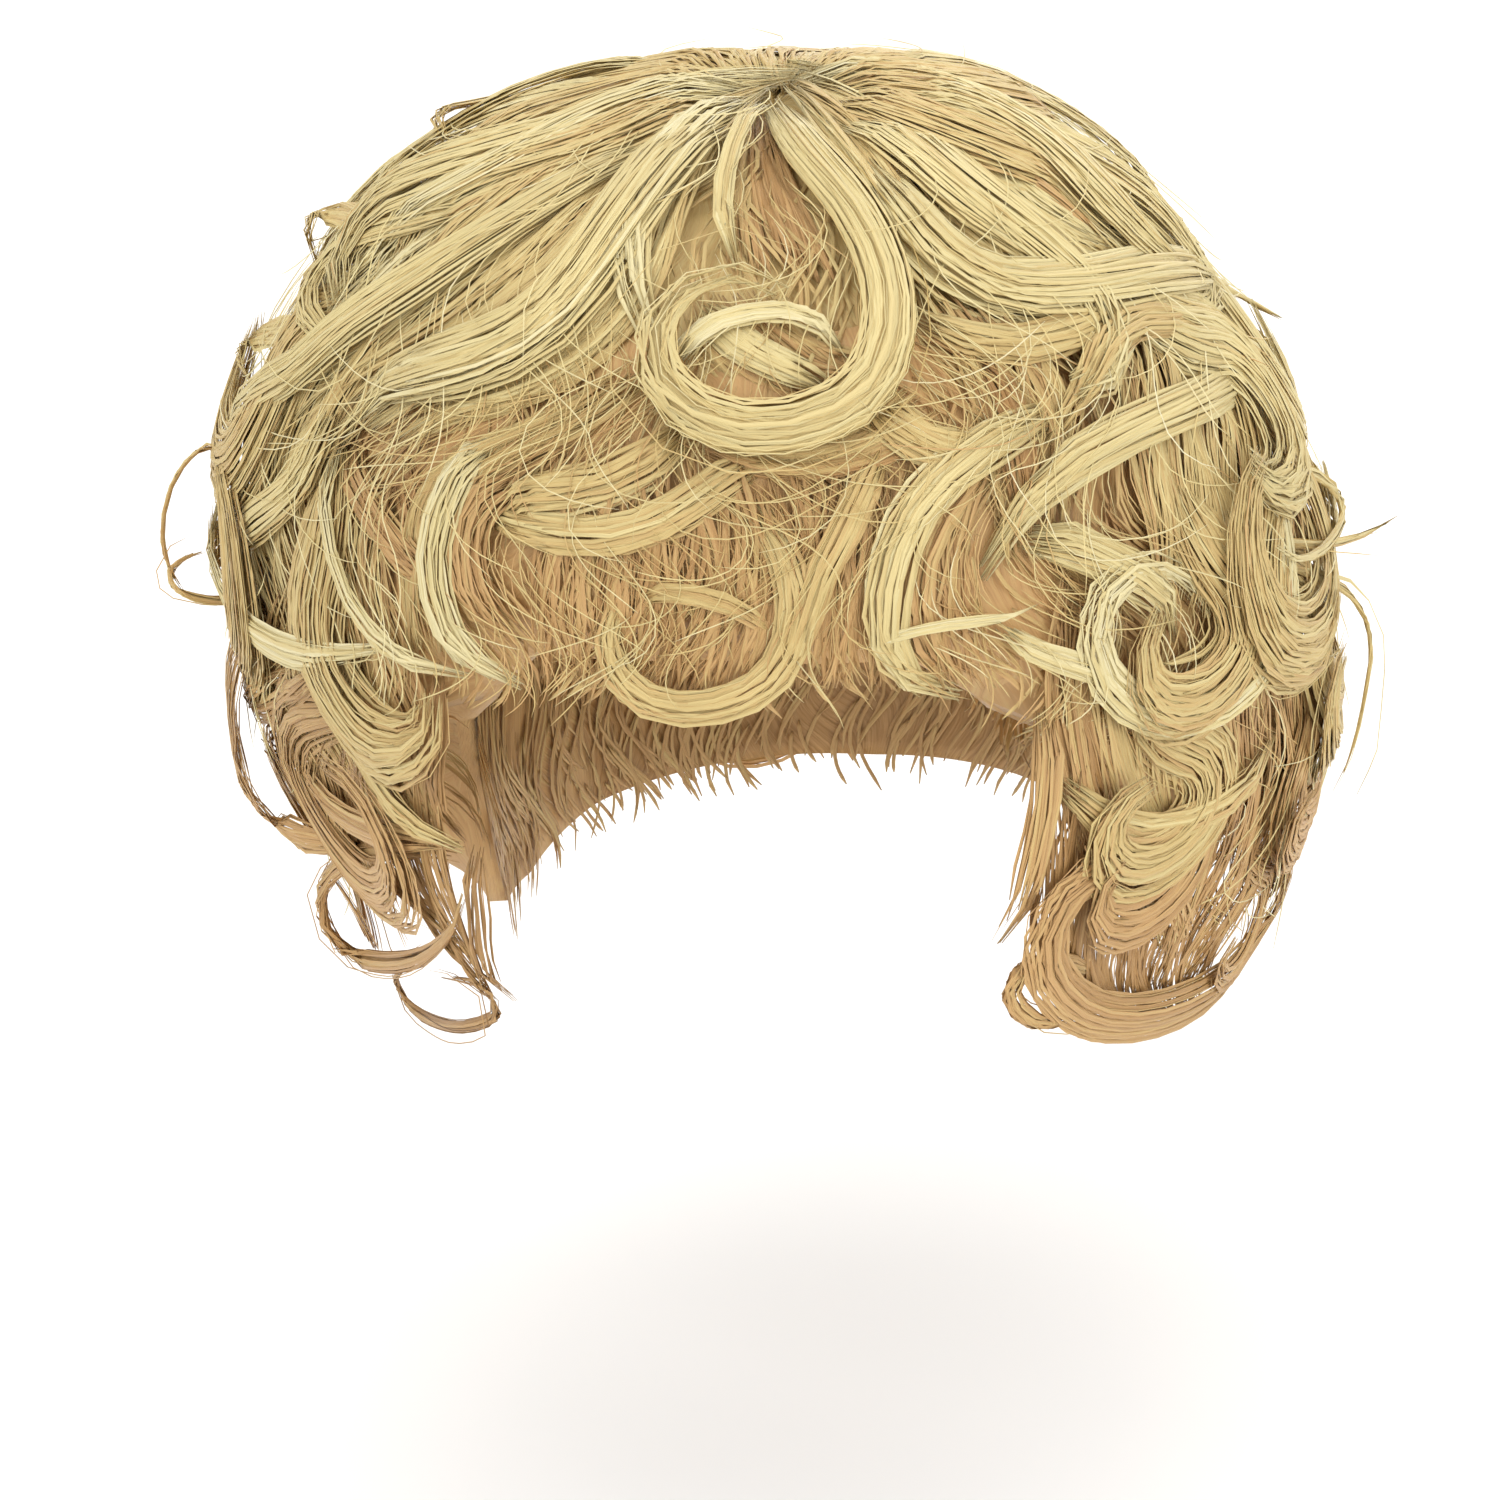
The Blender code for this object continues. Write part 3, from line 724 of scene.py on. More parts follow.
@dataclass
class LockMaker:
    """Turns a lock's middle line into its core and its strands."""

    form: HairForm
    style: LockStyle
    random: np.random.Generator

    def frames(self, path: np.ndarray) -> tuple[np.ndarray, np.ndarray, np.ndarray]:
        """Gives the directions of a lock along its middle.

        Args:
            path: Points of the middle.

        Returns:
            Directions along, outward and across.
        """
        ahead = unit(np.gradient(path, axis=0))
        azimuth, polar, _ = self.form.place_of(path)
        outward = self.form.outward(azimuth, polar)
        outward = unit(outward - ahead * (outward * ahead).sum(-1, keepdims=True))
        return ahead, outward, np.cross(outward, ahead)

    def add_core(
        self, parts: MeshParts, path: np.ndarray, lock: Stroke | Curl, row: int, rows: int
    ) -> None:
        """Adds the closed, flattened core that fills a lock under its strands.

        Args:
            parts: Mesh that takes the core.
            path: Points of the lock's middle.
            lock: The lock.
            row: Number of the lock in its mesh, which has its own strip of the surface map.
            rows: Number of such strips.
        """
        stations, sides = 26, 8
        style = self.style
        own = np.linspace(0, 1, stations)
        shares = 0.02 + (style.core_end - 0.02) * own
        _, outward, across = self.frames(path)
        slim = style.loose_core_share if lock.lay is Lay.LOOSE else style.core_share
        ends = 0.2 + 0.8 * smooth(np.minimum(own / 0.1, (1 - own) / 0.3))
        full = (style.fullness(shares) * ends)[:, None, None] * slim
        angle = np.linspace(0, 2 * math.pi, sides, endpoint=False)
        turn = angle[None, :, None]
        sunk = style.sink(shares, lock.tip_sink)[:, None]
        middle = (read_along(path, shares) - read_along(outward, shares) * sunk)[:, None]
        side = -read_along(across, shares)[:, None] * np.cos(turn) * lock.width / 2
        top = read_along(outward, shares)[:, None] * np.sin(turn) * lock.width * lock.flatness / 2
        points = middle + (side + top) * full
        low = (row + 0.04) / rows
        span = 0.92 / rows
        u_low = np.broadcast_to(np.arange(sides) / sides, (stations - 1, sides))
        v_low = np.broadcast_to((low + span * shares[:-1])[:, None], u_low.shape)
        v_high = np.broadcast_to((low + span * shares[1:])[:, None], u_low.shape)
        u_high = u_low + 1 / sides
        corners = [(u_low, v_low), (u_high, v_low), (u_high, v_high), (u_low, v_high)]
        around = np.stack([np.stack(corner, -1) for corner in corners], axis=2)
        end = np.stack([0.5 + 0.02 * np.cos(angle), low + span * (0.5 + 0.02 * np.sin(angle))], -1)
        faces = tube_faces(1, stations, sides)
        # The core gets a tone a little darker than its lock's strands: painted shade under them
        parts.add(points.reshape(-1, 3), faces, [around, end, end], lock.shade.value - 0.04)

    def add_strands(
        self, parts: MeshParts, path: np.ndarray, lock: Stroke | Curl, strand: Strand
    ) -> None:
        """Adds the strands of one kind that cover a lock.

        Args:
            parts: Mesh that takes the strands.
            path: Points of the lock's middle.
            lock: The lock.
            strand: Kind of strand.
        """
        style, random = self.style, self.random
        ahead, outward, across = self.frames(path)
        bends = np.degrees(np.arccos(np.clip((ahead[1:] * ahead[:-1]).sum(-1), -1, 1))).sum()
        length = float(np.linalg.norm(np.diff(path, axis=0), axis=1).sum())
        sections = bends / style.turn_step + length / style.length_step + 3
        stations = int(np.clip(sections, 6, style.most_sections))
        fuller = style.loose_fullness if lock.lay is Lay.LOOSE else 1
        count = max(round(lock.width * strand.per_metre * fuller), style.fewest)

        start = random.uniform(0, 0.1, count)
        stop = 1 - 0.3 * random.uniform(0, 1, count) ** 2
        shares = start[:, None] + (stop - start)[:, None] * np.linspace(0, 1, stations)
        sideways = read_along(across, shares)
        upwards = read_along(outward, shares)
        middle = read_along(path, shares) - upwards * style.sink(shares, lock.tip_sink)[..., None]
        full = style.fullness(shares)
        if lock.lay is Lay.SOFT:
            place = (2 * random.permutation(count) + 1) / count - 1
            clump = np.round(place * style.soft_clumps) / style.soft_clumps
            place = place[:, None] + (clump - place)[:, None] * 0.5 * smooth(shares)
            sway = 0.1 * np.sin(2 * math.pi * (1.3 * shares + random.uniform(0, 1, (count, 1))))
            bulge = np.sqrt(np.clip(1 - place**2, 0.0, 1.0)) * full * lock.width * lock.flatness / 2
            azimuth, polar, lift = self.form.place_of(middle)
            own_lift = lift - self.form.height(azimuth, polar)
            side = (place * full + sway) * lock.width / 2
            azimuth, polar, _ = self.form.place_of(middle + sideways * side[..., None])
            layer = random.uniform(-1, 1, (count, 1)) * style.soft_layer + own_lift + bulge
            lift = np.maximum(self.form.height(azimuth, polar) + layer, self.form.wall + 0.001)
            tones = np.clip(lock.shade.value + random.normal(0, strand.tone_spread, count), *TONE_RANGE)
            points = self.form.at(azimuth, polar, lift)
            add_strands(parts, points, self.form.outward(azimuth, polar), shares, tones, strand)
            return
        low, high = (0.0, 2.0) if lock.lay is Lay.LOOSE else (-0.12, 1.12)
        angle = low + (high - low) * (np.arange(count) + random.uniform(0, 1, count)) / count
        clump = np.round(angle * style.clumps) / style.clumps
        angle = angle[:, None] + (clump - angle)[:, None] * 0.6 * smooth(shares)
        wave = random.uniform(0.6, 1.8, (count, 1)) * shares + random.uniform(0, 1, (count, 1))
        angle = math.pi * angle + style.sway * np.sin(2 * math.pi * wave)
        depth = random.uniform(*strand.depths, (count, 1))
        side = np.cos(angle) * depth * full * lock.width / 2
        top = np.sin(angle) * depth * (0.3 + 0.7 * full) * lock.width * lock.flatness / 2
        free = (random.uniform(0, 1, count) < strand.stray_share)[:, None] * shares**1.5 * style.stray_reach
        side = side + free * random.uniform(-1, 1, (count, 1))
        top = top + free * random.uniform(0, 1, (count, 1))
        points = middle + sideways * side[..., None] + upwards * top[..., None]
        lean = np.cos(angle)[..., None] * lock.flatness
        normals = unit(sideways * lean + upwards * np.sin(angle)[..., None])
        # Strands on top of the lock get a paler tone and those at its sides and underneath a darker one:
        # painted light and shade
        shaded = lock.shade.value + 0.1 * (np.sin(angle[:, 0]) - 0.6)
        tones = np.clip(shaded + random.normal(0, strand.tone_spread, count), *TONE_RANGE)
        add_strands(parts, points, normals, shares, tones, strand)


@dataclass(frozen=True)
class Fan:
    """Hair combed side by side between lines that are drawn in pixels of the studio view."""

    lines: tuple[tuple[tuple[float, float], ...], ...]
    shades: tuple[Shade, ...]
    ribbons: int
    fibres: int
    rise: float = -0.001
    ridge: float = 0.0009  # height of the low ridges that the combing leaves
    ridges: float = 2.2  # from one line to the next
    layer: float = 0.0004
    stations: int = 12

    def add(self, parts: MeshParts, form: HairForm, view: StudioView, random: np.random.Generator) -> None:
        """Adds the combed hair to a mesh.

        Args:
            parts: Mesh that takes the strands.
            form: Form of the hair.
            view: View that the lines are drawn in.
            random: Seeded source of the strands' unevenness.
        """
        strokes = [Stroke(line, 0.0, Shade.GOLD, (self.rise,)) for line in self.lines]
        lines = np.stack([stroke.path(form, view) for stroke in strokes])
        shades = [shade.value for shade in self.shades]
        for strand, count in ((RIBBON, self.ribbons), (FIBRE, self.fibres)):
            if not count:
                continue
            own = np.linspace(0, 1, self.stations)
            start = 0.5 * random.uniform(0, 1, (count, 1)) ** 1.6
            stop = 1 - 0.4 * random.uniform(0, 1, (count, 1)) ** 2
            shares = start + (stop - start) * own
            place = (random.permutation(count) + random.uniform(0, 1, count))[:, None] / count
            wave = random.uniform(0.5, 1.5, (count, 1)) * shares + random.uniform(0, 1, (count, 1))
            across = np.clip(place + 0.02 * np.sin(2 * math.pi * wave), 0.0, 1.0) * (len(lines) - 1)
            line = np.minimum(across.astype(int), len(lines) - 2)
            along = shares * (lines.shape[1] - 1)
            station = np.minimum(along.astype(int), lines.shape[1] - 2)
            part, step = (across - line)[..., None], (along - station)[..., None]
            first = lines[line, station] * (1 - step) + lines[line, station + 1] * step
            second = lines[line + 1, station] * (1 - step) + lines[line + 1, station + 1] * step
            azimuth, polar, _ = form.place_of(first * (1 - part) + second * part)
            swell = np.sin(2 * math.pi * (across * self.ridges + 0.7 * np.sin(3 * shares + across)))
            lift = self.rise + self.ridge * swell + random.uniform(-1, 1, (count, 1)) * self.layer
            lift = np.maximum(form.height(azimuth, polar) + lift, form.wall + 0.001)
            steady = np.interp(place[:, 0] * (len(shades) - 1), np.arange(len(shades)), shades)
            # The tone rises on the combed ridges and falls in the hollows between them: painted light and
            # shade
            tones = steady + 0.04 * swell.mean(1) + random.normal(0, strand.tone_spread, count)
            points = form.at(azimuth, polar, lift)
            tones = np.clip(tones, *TONE_RANGE)
            add_strands(parts, points, form.outward(azimuth, polar), shares, tones, strand)


@dataclass(frozen=True)
class Coat:
    """Layer of single strands over a piece: hair combed in waves, or hair that flies free."""

    count: int
    lengths: tuple[float, float]
    lift: tuple[float, float]  # from the level of the outer locks
    rise: float
    heading_swing: float  # degrees by which the waves leave the way down
    wave: float
    curl: float  # degrees of bend to a metre
    tone: float
    strand: Strand
    stations: int = 9
    inner: bool = False  # on the inside of the piece
    room: float = 5.0  # degrees kept between a strand's start and the lower edge
    overhang: tuple[float, float] = (-2, 5)  # degrees by which strands pass the lower edge
    edge_shifts: tuple[float, ...] = (-9, 0, 9)  # degrees to both sides where the edge counts too
    shortest: float = 0.3  # share of the least length that a strand keeps at the edge
    downhill: float = 1.2  # length of the way down for that of the dome's own height

    def add(self, parts: MeshParts, form: HairForm, cell: "Cell", random: np.random.Generator) -> None:
        """Adds the layer to a mesh.

        Args:
            parts: Mesh that takes the strands.
            form: Form of the hair.
            cell: Part of the hair that the strands start in.
            random: Seeded source of their places.
        """
        count = self.count
        across = random.uniform(0, 1, count)
        spread = random.uniform(0, 1, count)
        # More strands start where the form is wider
        tops = max(cell.top, 4)
        sides = cell.low + (cell.high - cell.low) * across
        lowest = np.minimum(cell.bottom, form.edge(sides) - self.room)
        polar = tops + (lowest - tops) * (spread if cell.top else np.sqrt(spread))
        azimuth = cell.edges(across, polar)
        # A strand ends near the hair's lower edge, or at it
        edge = np.min([form.edge(azimuth + shift) for shift in self.edge_shifts], axis=0)
        edge = edge + random.uniform(*self.overhang, count)
        room = np.radians(edge - polar) * form.dome_height * self.downhill
        length = np.minimum(random.uniform(*self.lengths, count), room)
        length = np.maximum(length, self.lengths[0] * self.shortest)
        step = length / (self.stations - 1)
        # Neighbours share their wave, and strands that fly free have each their own
        phase = azimuth / 17 + np.sin(np.radians(azimuth * 3)) + random.normal(0, 0.5, count)
        bend = random.uniform(-1, 1, count) * self.curl
        places = []
        travelled = np.zeros(count)
        for _ in range(self.stations):
            places.append((azimuth.copy(), polar.copy()))
            waves = polar / DEGREES * form.dome_height / self.wave
            swing = np.radians(self.heading_swing) * np.sin(2 * np.pi * waves + phase)
            heading = swing + np.radians(bend * travelled) + cell.away(azimuth, polar)
            around = np.maximum(np.sin(np.radians(np.minimum(polar, 90))), 0.15) * form.breadth / 2 * 1.3
            azimuth = azimuth + np.degrees(np.sin(heading) * step / around)
            down = np.cos(heading) * step / (form.dome_height * self.downhill)
            polar = np.maximum(polar + np.degrees(down), 1)
            travelled = travelled + step
        azimuth, polar = (np.stack([place[axis] for place in places], axis=1) for axis in (0, 1))
        own = np.linspace(0, 1, self.stations)[None, :]
        lift = random.uniform(*self.lift, (count, 1))
        lift = lift + self.rise * random.uniform(0, 1, (count, 1)) * own**2
        kept = 1 - cell.thinning(azimuth, polar)
        lift = form.wall + (form.height(azimuth, polar) + lift - form.wall) * kept
        lift = np.maximum(lift, form.wall + 0.0015)
        facing = 1.0
        if self.inner:
            lift = form.wall - 0.0004 - random.uniform(0, 0.001, (count, 1)) + 0 * lift
            facing = -1.0
        points = form.at(azimuth, polar, lift)
        shares = np.broadcast_to(0.3 + 0.6 * own, azimuth.shape)
        tones = np.clip(self.tone + random.normal(0, self.strand.tone_spread, count), *TONE_RANGE)
        add_strands(parts, points, facing * form.outward(azimuth, polar), shares, tones, self.strand)


def combed_coats(
    ribbons: int, fibres: int, strays: int, swing: float, tones: tuple[float, float], inner: int = 0
) -> tuple[Coat, ...]:
    """Lists the coats of a piece at a side or at the back.

    Args:
        ribbons: Ribbons close to the piece's body.
        fibres: Combed fibres over them.
        strays: Fibres that fly free.
        swing: Degrees by which the waves leave the way down.
        tones: Tones of the ribbons and of the combed fibres; the deeper ribbons get the darker one, which
            is painted shade.
        inner: Ribbons on the inside of the piece.

    Returns:
        The coats, undermost first.
    """
    coats = (
        Coat(ribbons, (0.03, 0.055), (-0.0055, -0.003), 0.0, swing, 0.05, 0.0, tones[0], RIBBON, 7),
        Coat(fibres, (0.03, 0.06), (-0.004, 0.0005), 0.003, swing, 0.05, 500.0, tones[1], FIBRE, 9),
        Coat(strays, (0.03, 0.07), (0.001, 0.003), 0.006, swing, 0.05, 1800.0, 0.8, FIBRE, 12),
    )
    lining = Coat(inner, (0.03, 0.06), (0.0, 0.0), 0.0, 40, 0.05, 300.0, 0.42, RIBBON, 8, True)
    return (*coats, lining) if inner else coats


class NodeTree:
    """Nodes of one material, added with their settings and links in one call each."""

    def __init__(self, name: str) -> None:
        """Starts a material with its shader.

        Args:
            name: Name of the material.
        """
        self.material = bpy.data.materials.new(name)
        self.material.use_nodes = True
        self.tree = self.material.node_tree
        self.shader = self.tree.nodes["Principled BSDF"]

    def add(
        self,
        kind: str,
        inputs: dict[str | int, object],
        stops: tuple[tuple[float, str], ...] = (),
        **settings: object,
    ) -> bpy.types.Node:
        """Adds a node.

        Args:
            kind: Blender's name of the node type.
            inputs: Sockets of the node, each with a value or the socket that feeds it.
            stops: Places and display colours of the node's colour scale, if it has one.
            **settings: Properties of the node.

        Returns:
            The node.
        """
        node = self.tree.nodes.new(kind)
        for name, value in settings.items():
            setattr(node, name, value)
        for _ in stops[2:]:
            node.color_ramp.elements.new(0.5)
        for number, (place, code) in enumerate(stops):
            node.color_ramp.elements[number].position = place
            node.color_ramp.elements[number].color = srgb(code)
        self.feed(node, inputs)
        return node

    def feed(self, node: bpy.types.Node, inputs: dict[str | int, object]) -> None:
        """Sets or links sockets of a node.

        Args:
            node: The node.
            inputs: Its sockets, each with a value or the socket that feeds it.
        """
        for name, value in inputs.items():
            if isinstance(value, bpy.types.NodeSocket):
                self.tree.links.new(value, node.inputs[name])
            else:
                node.inputs[name].default_value = value


# Colours of the fibres from the shaded brown ones underneath to the palest on the outside
FIBRE_COLOURS = (
    (0.0, "#7C5529"),
    (0.2, "#A57B45"),
    (0.4, "#CCA26A"),
    (0.58, "#D3B878"),
    (0.76, "#E0CF94"),
    (1.0, "#F1E7C0"),
)


@dataclass(frozen=True)
class SilkyFibre:
    """Curled synthetic hair fibre: smooth and translucent, so it gives a soft bright line per strand."""

    name: str = "silky_synthetic_fibre"
    roughness: float = 0.45
    # How dark the strands are kept at their roots, where they come out from under other hair: painted shade
    root_darkening: float = 0.88
    streaks: float = 150.0  # pale and dark fibres over the tones, several to a ribbon
    streak_depth: float = 0.13
    relief: float = 0.00025  # depth of the grooves between the fibres of a ribbon

    def material(self) -> bpy.types.Material:
        """Makes the material, which reads tone and place along the lock from the surface map.

        Returns:
            The material.
        """
        nodes = NodeTree(self.name)
        surface = nodes.add("ShaderNodeUVMap", {}, uv_map=BAKE_MAP)
        places = nodes.add("ShaderNodeSeparateXYZ", {"Vector": surface.outputs["UV"]})
        stretched = nodes.add(
            "ShaderNodeMapping", {"Vector": surface.outputs["UV"], "Scale": (self.streaks, 1.5, 1.0)}
        )
        grain = nodes.add(
            "ShaderNodeTexNoise", {"Vector": stretched.outputs["Vector"], "Scale": 1.0, "Detail": 3.0}
        )
        offset = nodes.add(
            "ShaderNodeMapRange",
            {
                "Value": grain.outputs["Fac"],
                "From Min": 0.3,
                "From Max": 0.7,
                "To Min": -self.streak_depth,
                "To Max": self.streak_depth,
            },
        )
        tone = nodes.add(
            "ShaderNodeMath", {0: places.outputs["X"], 1: offset.outputs["Result"]}, operation="ADD"
        )
        colour = nodes.add("ShaderNodeValToRGB", {"Fac": tone.outputs["Value"]}, FIBRE_COLOURS)
        # Darker towards the roots, where strands come out from under other hair: painted shade
        fade = nodes.add(
            "ShaderNodeMapRange",
            {"Value": places.outputs["Y"], "From Max": 0.35, "To Min": self.root_darkening, "To Max": 1.0},
        )
        shaded = nodes.add(
            "ShaderNodeMix",
            {"Factor": 1.0, "A": colour.outputs["Color"], "B": fade.outputs["Result"]},
            data_type="RGBA",
            blend_type="MULTIPLY",
        )
        bump = nodes.add(
            "ShaderNodeBump", {"Height": grain.outputs["Fac"], "Strength": 0.8, "Distance": self.relief}
        )
        nodes.feed(
            nodes.shader,
            {
                "Base Color": shaded.outputs["Result"],
                "Roughness": self.roughness,
                "Normal": bump.outputs["Normal"],
            },
        )
        return nodes.material


@dataclass(frozen=True)
class CombedHair:
    """Hair seen as a mass between the strands: fine streaks along the lock, which catch the light."""

    name: str
    across: float  # streaks over the width of the surface map
    along: float
    roughness: float = 0.5
    relief: float = 0.0004
    streak_depth: float = 0.12

    def material(self) -> bpy.types.Material:
        """Makes the material, which reads its tone from the mesh and its streaks from the surface map.

        Returns:
            The material.
        """
        nodes = NodeTree(self.name)
        surface = nodes.add("ShaderNodeUVMap", {}, uv_map=BAKE_MAP)
        stretched = nodes.add(
            "ShaderNodeMapping", {"Vector": surface.outputs["UV"], "Scale": (self.across, self.along, 1.0)}
        )
        streaks = nodes.add(
            "ShaderNodeTexNoise",
            {"Vector": stretched.outputs["Vector"], "Scale": 1.0, "Detail": 4.0, "Roughness": 0.65},
        )
        tone = nodes.add("ShaderNodeAttribute", {}, attribute_name=TONE)
        spread = nodes.add(
            "ShaderNodeMapRange",
            {
                "Value": streaks.outputs["Fac"],
                "From Min": 0.3,
                "From Max": 0.7,
                "To Min": -self.streak_depth,
                "To Max": self.streak_depth,
            },
        )
        place = nodes.add(
            "ShaderNodeMath", {0: tone.outputs["Fac"], 1: spread.outputs["Result"]}, operation="ADD"
        )
        colour = nodes.add("ShaderNodeValToRGB", {"Fac": place.outputs["Value"]}, FIBRE_COLOURS)
        bump = nodes.add(
            "ShaderNodeBump", {"Height": streaks.outputs["Fac"], "Strength": 0.9, "Distance": self.relief}
        )
        nodes.feed(
            nodes.shader,
            {
                "Base Color": colour.outputs["Color"],
                "Roughness": self.roughness,
                "Normal": bump.outputs["Normal"],
            },
        )
        return nodes.material


@dataclass(frozen=True)
class CapNet:
    """Stretch net of the cap: a matt knit whose holes read as small dark dots."""

    name: str = "knitted_stretch_net"
    yarn: str = "#9C7E52"
    hole: str = "#4A3820"
    pitch: float = 0.0022  # coarser than the real 1 mm, which the picture can't show
    roughness: float = 0.85

    def material(self) -> bpy.types.Material:
        """Makes the material.

        Returns:
            The material.
        """
        nodes = NodeTree(self.name)
        place = nodes.add("ShaderNodeTexCoord", {})
        holes = nodes.add(
            "ShaderNodeTexVoronoi",
            {"Vector": place.outputs["Object"], "Scale": 1 / self.pitch, "Randomness": 0.25},
        )
        colour = nodes.add(
            "ShaderNodeValToRGB", {"Fac": holes.outputs["Distance"]}, ((0.12, self.hole), (0.4, self.yarn))
        )
        bump = nodes.add(
            "ShaderNodeBump", {"Height": holes.outputs["Distance"], "Strength": 0.6, "Distance": 0.0004}
        )
        nodes.feed(
            nodes.shader,
            {
                "Base Color": colour.outputs["Color"],
                "Roughness": self.roughness,
                "Normal": bump.outputs["Normal"],
            },
        )
        return nodes.material


@dataclass(frozen=True)
class Finishes:
    """Materials of the hair, shared by all its pieces."""

    fibre: bpy.types.Material
    lock: bpy.types.Material
    under: bpy.types.Material


@dataclass(frozen=True)
class Cell:
    """Part of the hair's body: azimuths from low to high and polar angles from top to bottom."""

    low: float
    high: float
    top: float
    bottom: float
    tuck: float = 0.0  # degrees by which a front edge is drawn back below the widest level
    front_thinning: float = 0.85  # share of the hair's height that is missing at a front edge
    front_reach: float = 16.0  # degrees over which it thins out

    def edges(self, share: np.ndarray, polar: np.ndarray) -> np.ndarray:
        """Gives azimuths across the cell.

        Args:
            share: Places from the low side to the high side, from 0 to 1.
            polar: Polar angle of each.

        Returns:
            Azimuths.
        """
        back = self.tuck * smooth((polar - 94.0) / 16.0)
        low = self.low + (back if self.low > 0 else 0)
        high = self.high - (back if self.low < 0 else 0)
        return low + (high - low) * share

    def thinning(self, azimuth: np.ndarray, polar: np.ndarray) -> np.ndarray:
        """Gives how much the hair thins out towards a front edge.

        Args:
            azimuth: Azimuths in degrees.
            polar: Polar angles in degrees.

        Returns:
            Shares of the hair's height that are missing.
        """
        if not self.tuck:
            return 0.0 * azimuth
        room = azimuth - self.edges(0.0, polar) if self.low > 0 else self.edges(1.0, polar) - azimuth
        return self.front_thinning * smooth(1 - room / self.front_reach) * smooth((polar - 90) / 12)

    def away(self, azimuth: np.ndarray, polar: np.ndarray) -> np.ndarray:
        """Gives the turn that keeps strands back from a front edge.

        Args:
            azimuth: Azimuths of the strands.
            polar: Their polar angles.

        Returns:
            Turns in radians, towards the inside of the cell.
        """
        if not self.tuck:
            return 0.0 * azimuth
        near_low = smooth((self.edges(0.0, polar) + 1 - azimuth) / 6) * (self.low > 0)
        near_high = smooth((azimuth - self.edges(1.0, polar) + 1) / 6) * (self.low < 0)
        return 1.2 * (near_low - near_high)


@dataclass
class Cap:
    """Thin knitted cap that carries the hair."""

    node: str = "cap"
    slot: str = "cap_net"

    def build(self) -> bpy.types.Object:
        """Finds the cap's own solid, which shows as it is.

        Returns:
            The cap.
        """
        return bpy.data.objects[self.node]

    def dress(self, piece: bpy.types.Object) -> None:
        """Gives the cap its net.

        Args:
            piece: The cap.
        """
        piece.data.materials.clear()
        piece.data.materials.append(CapNet().material())


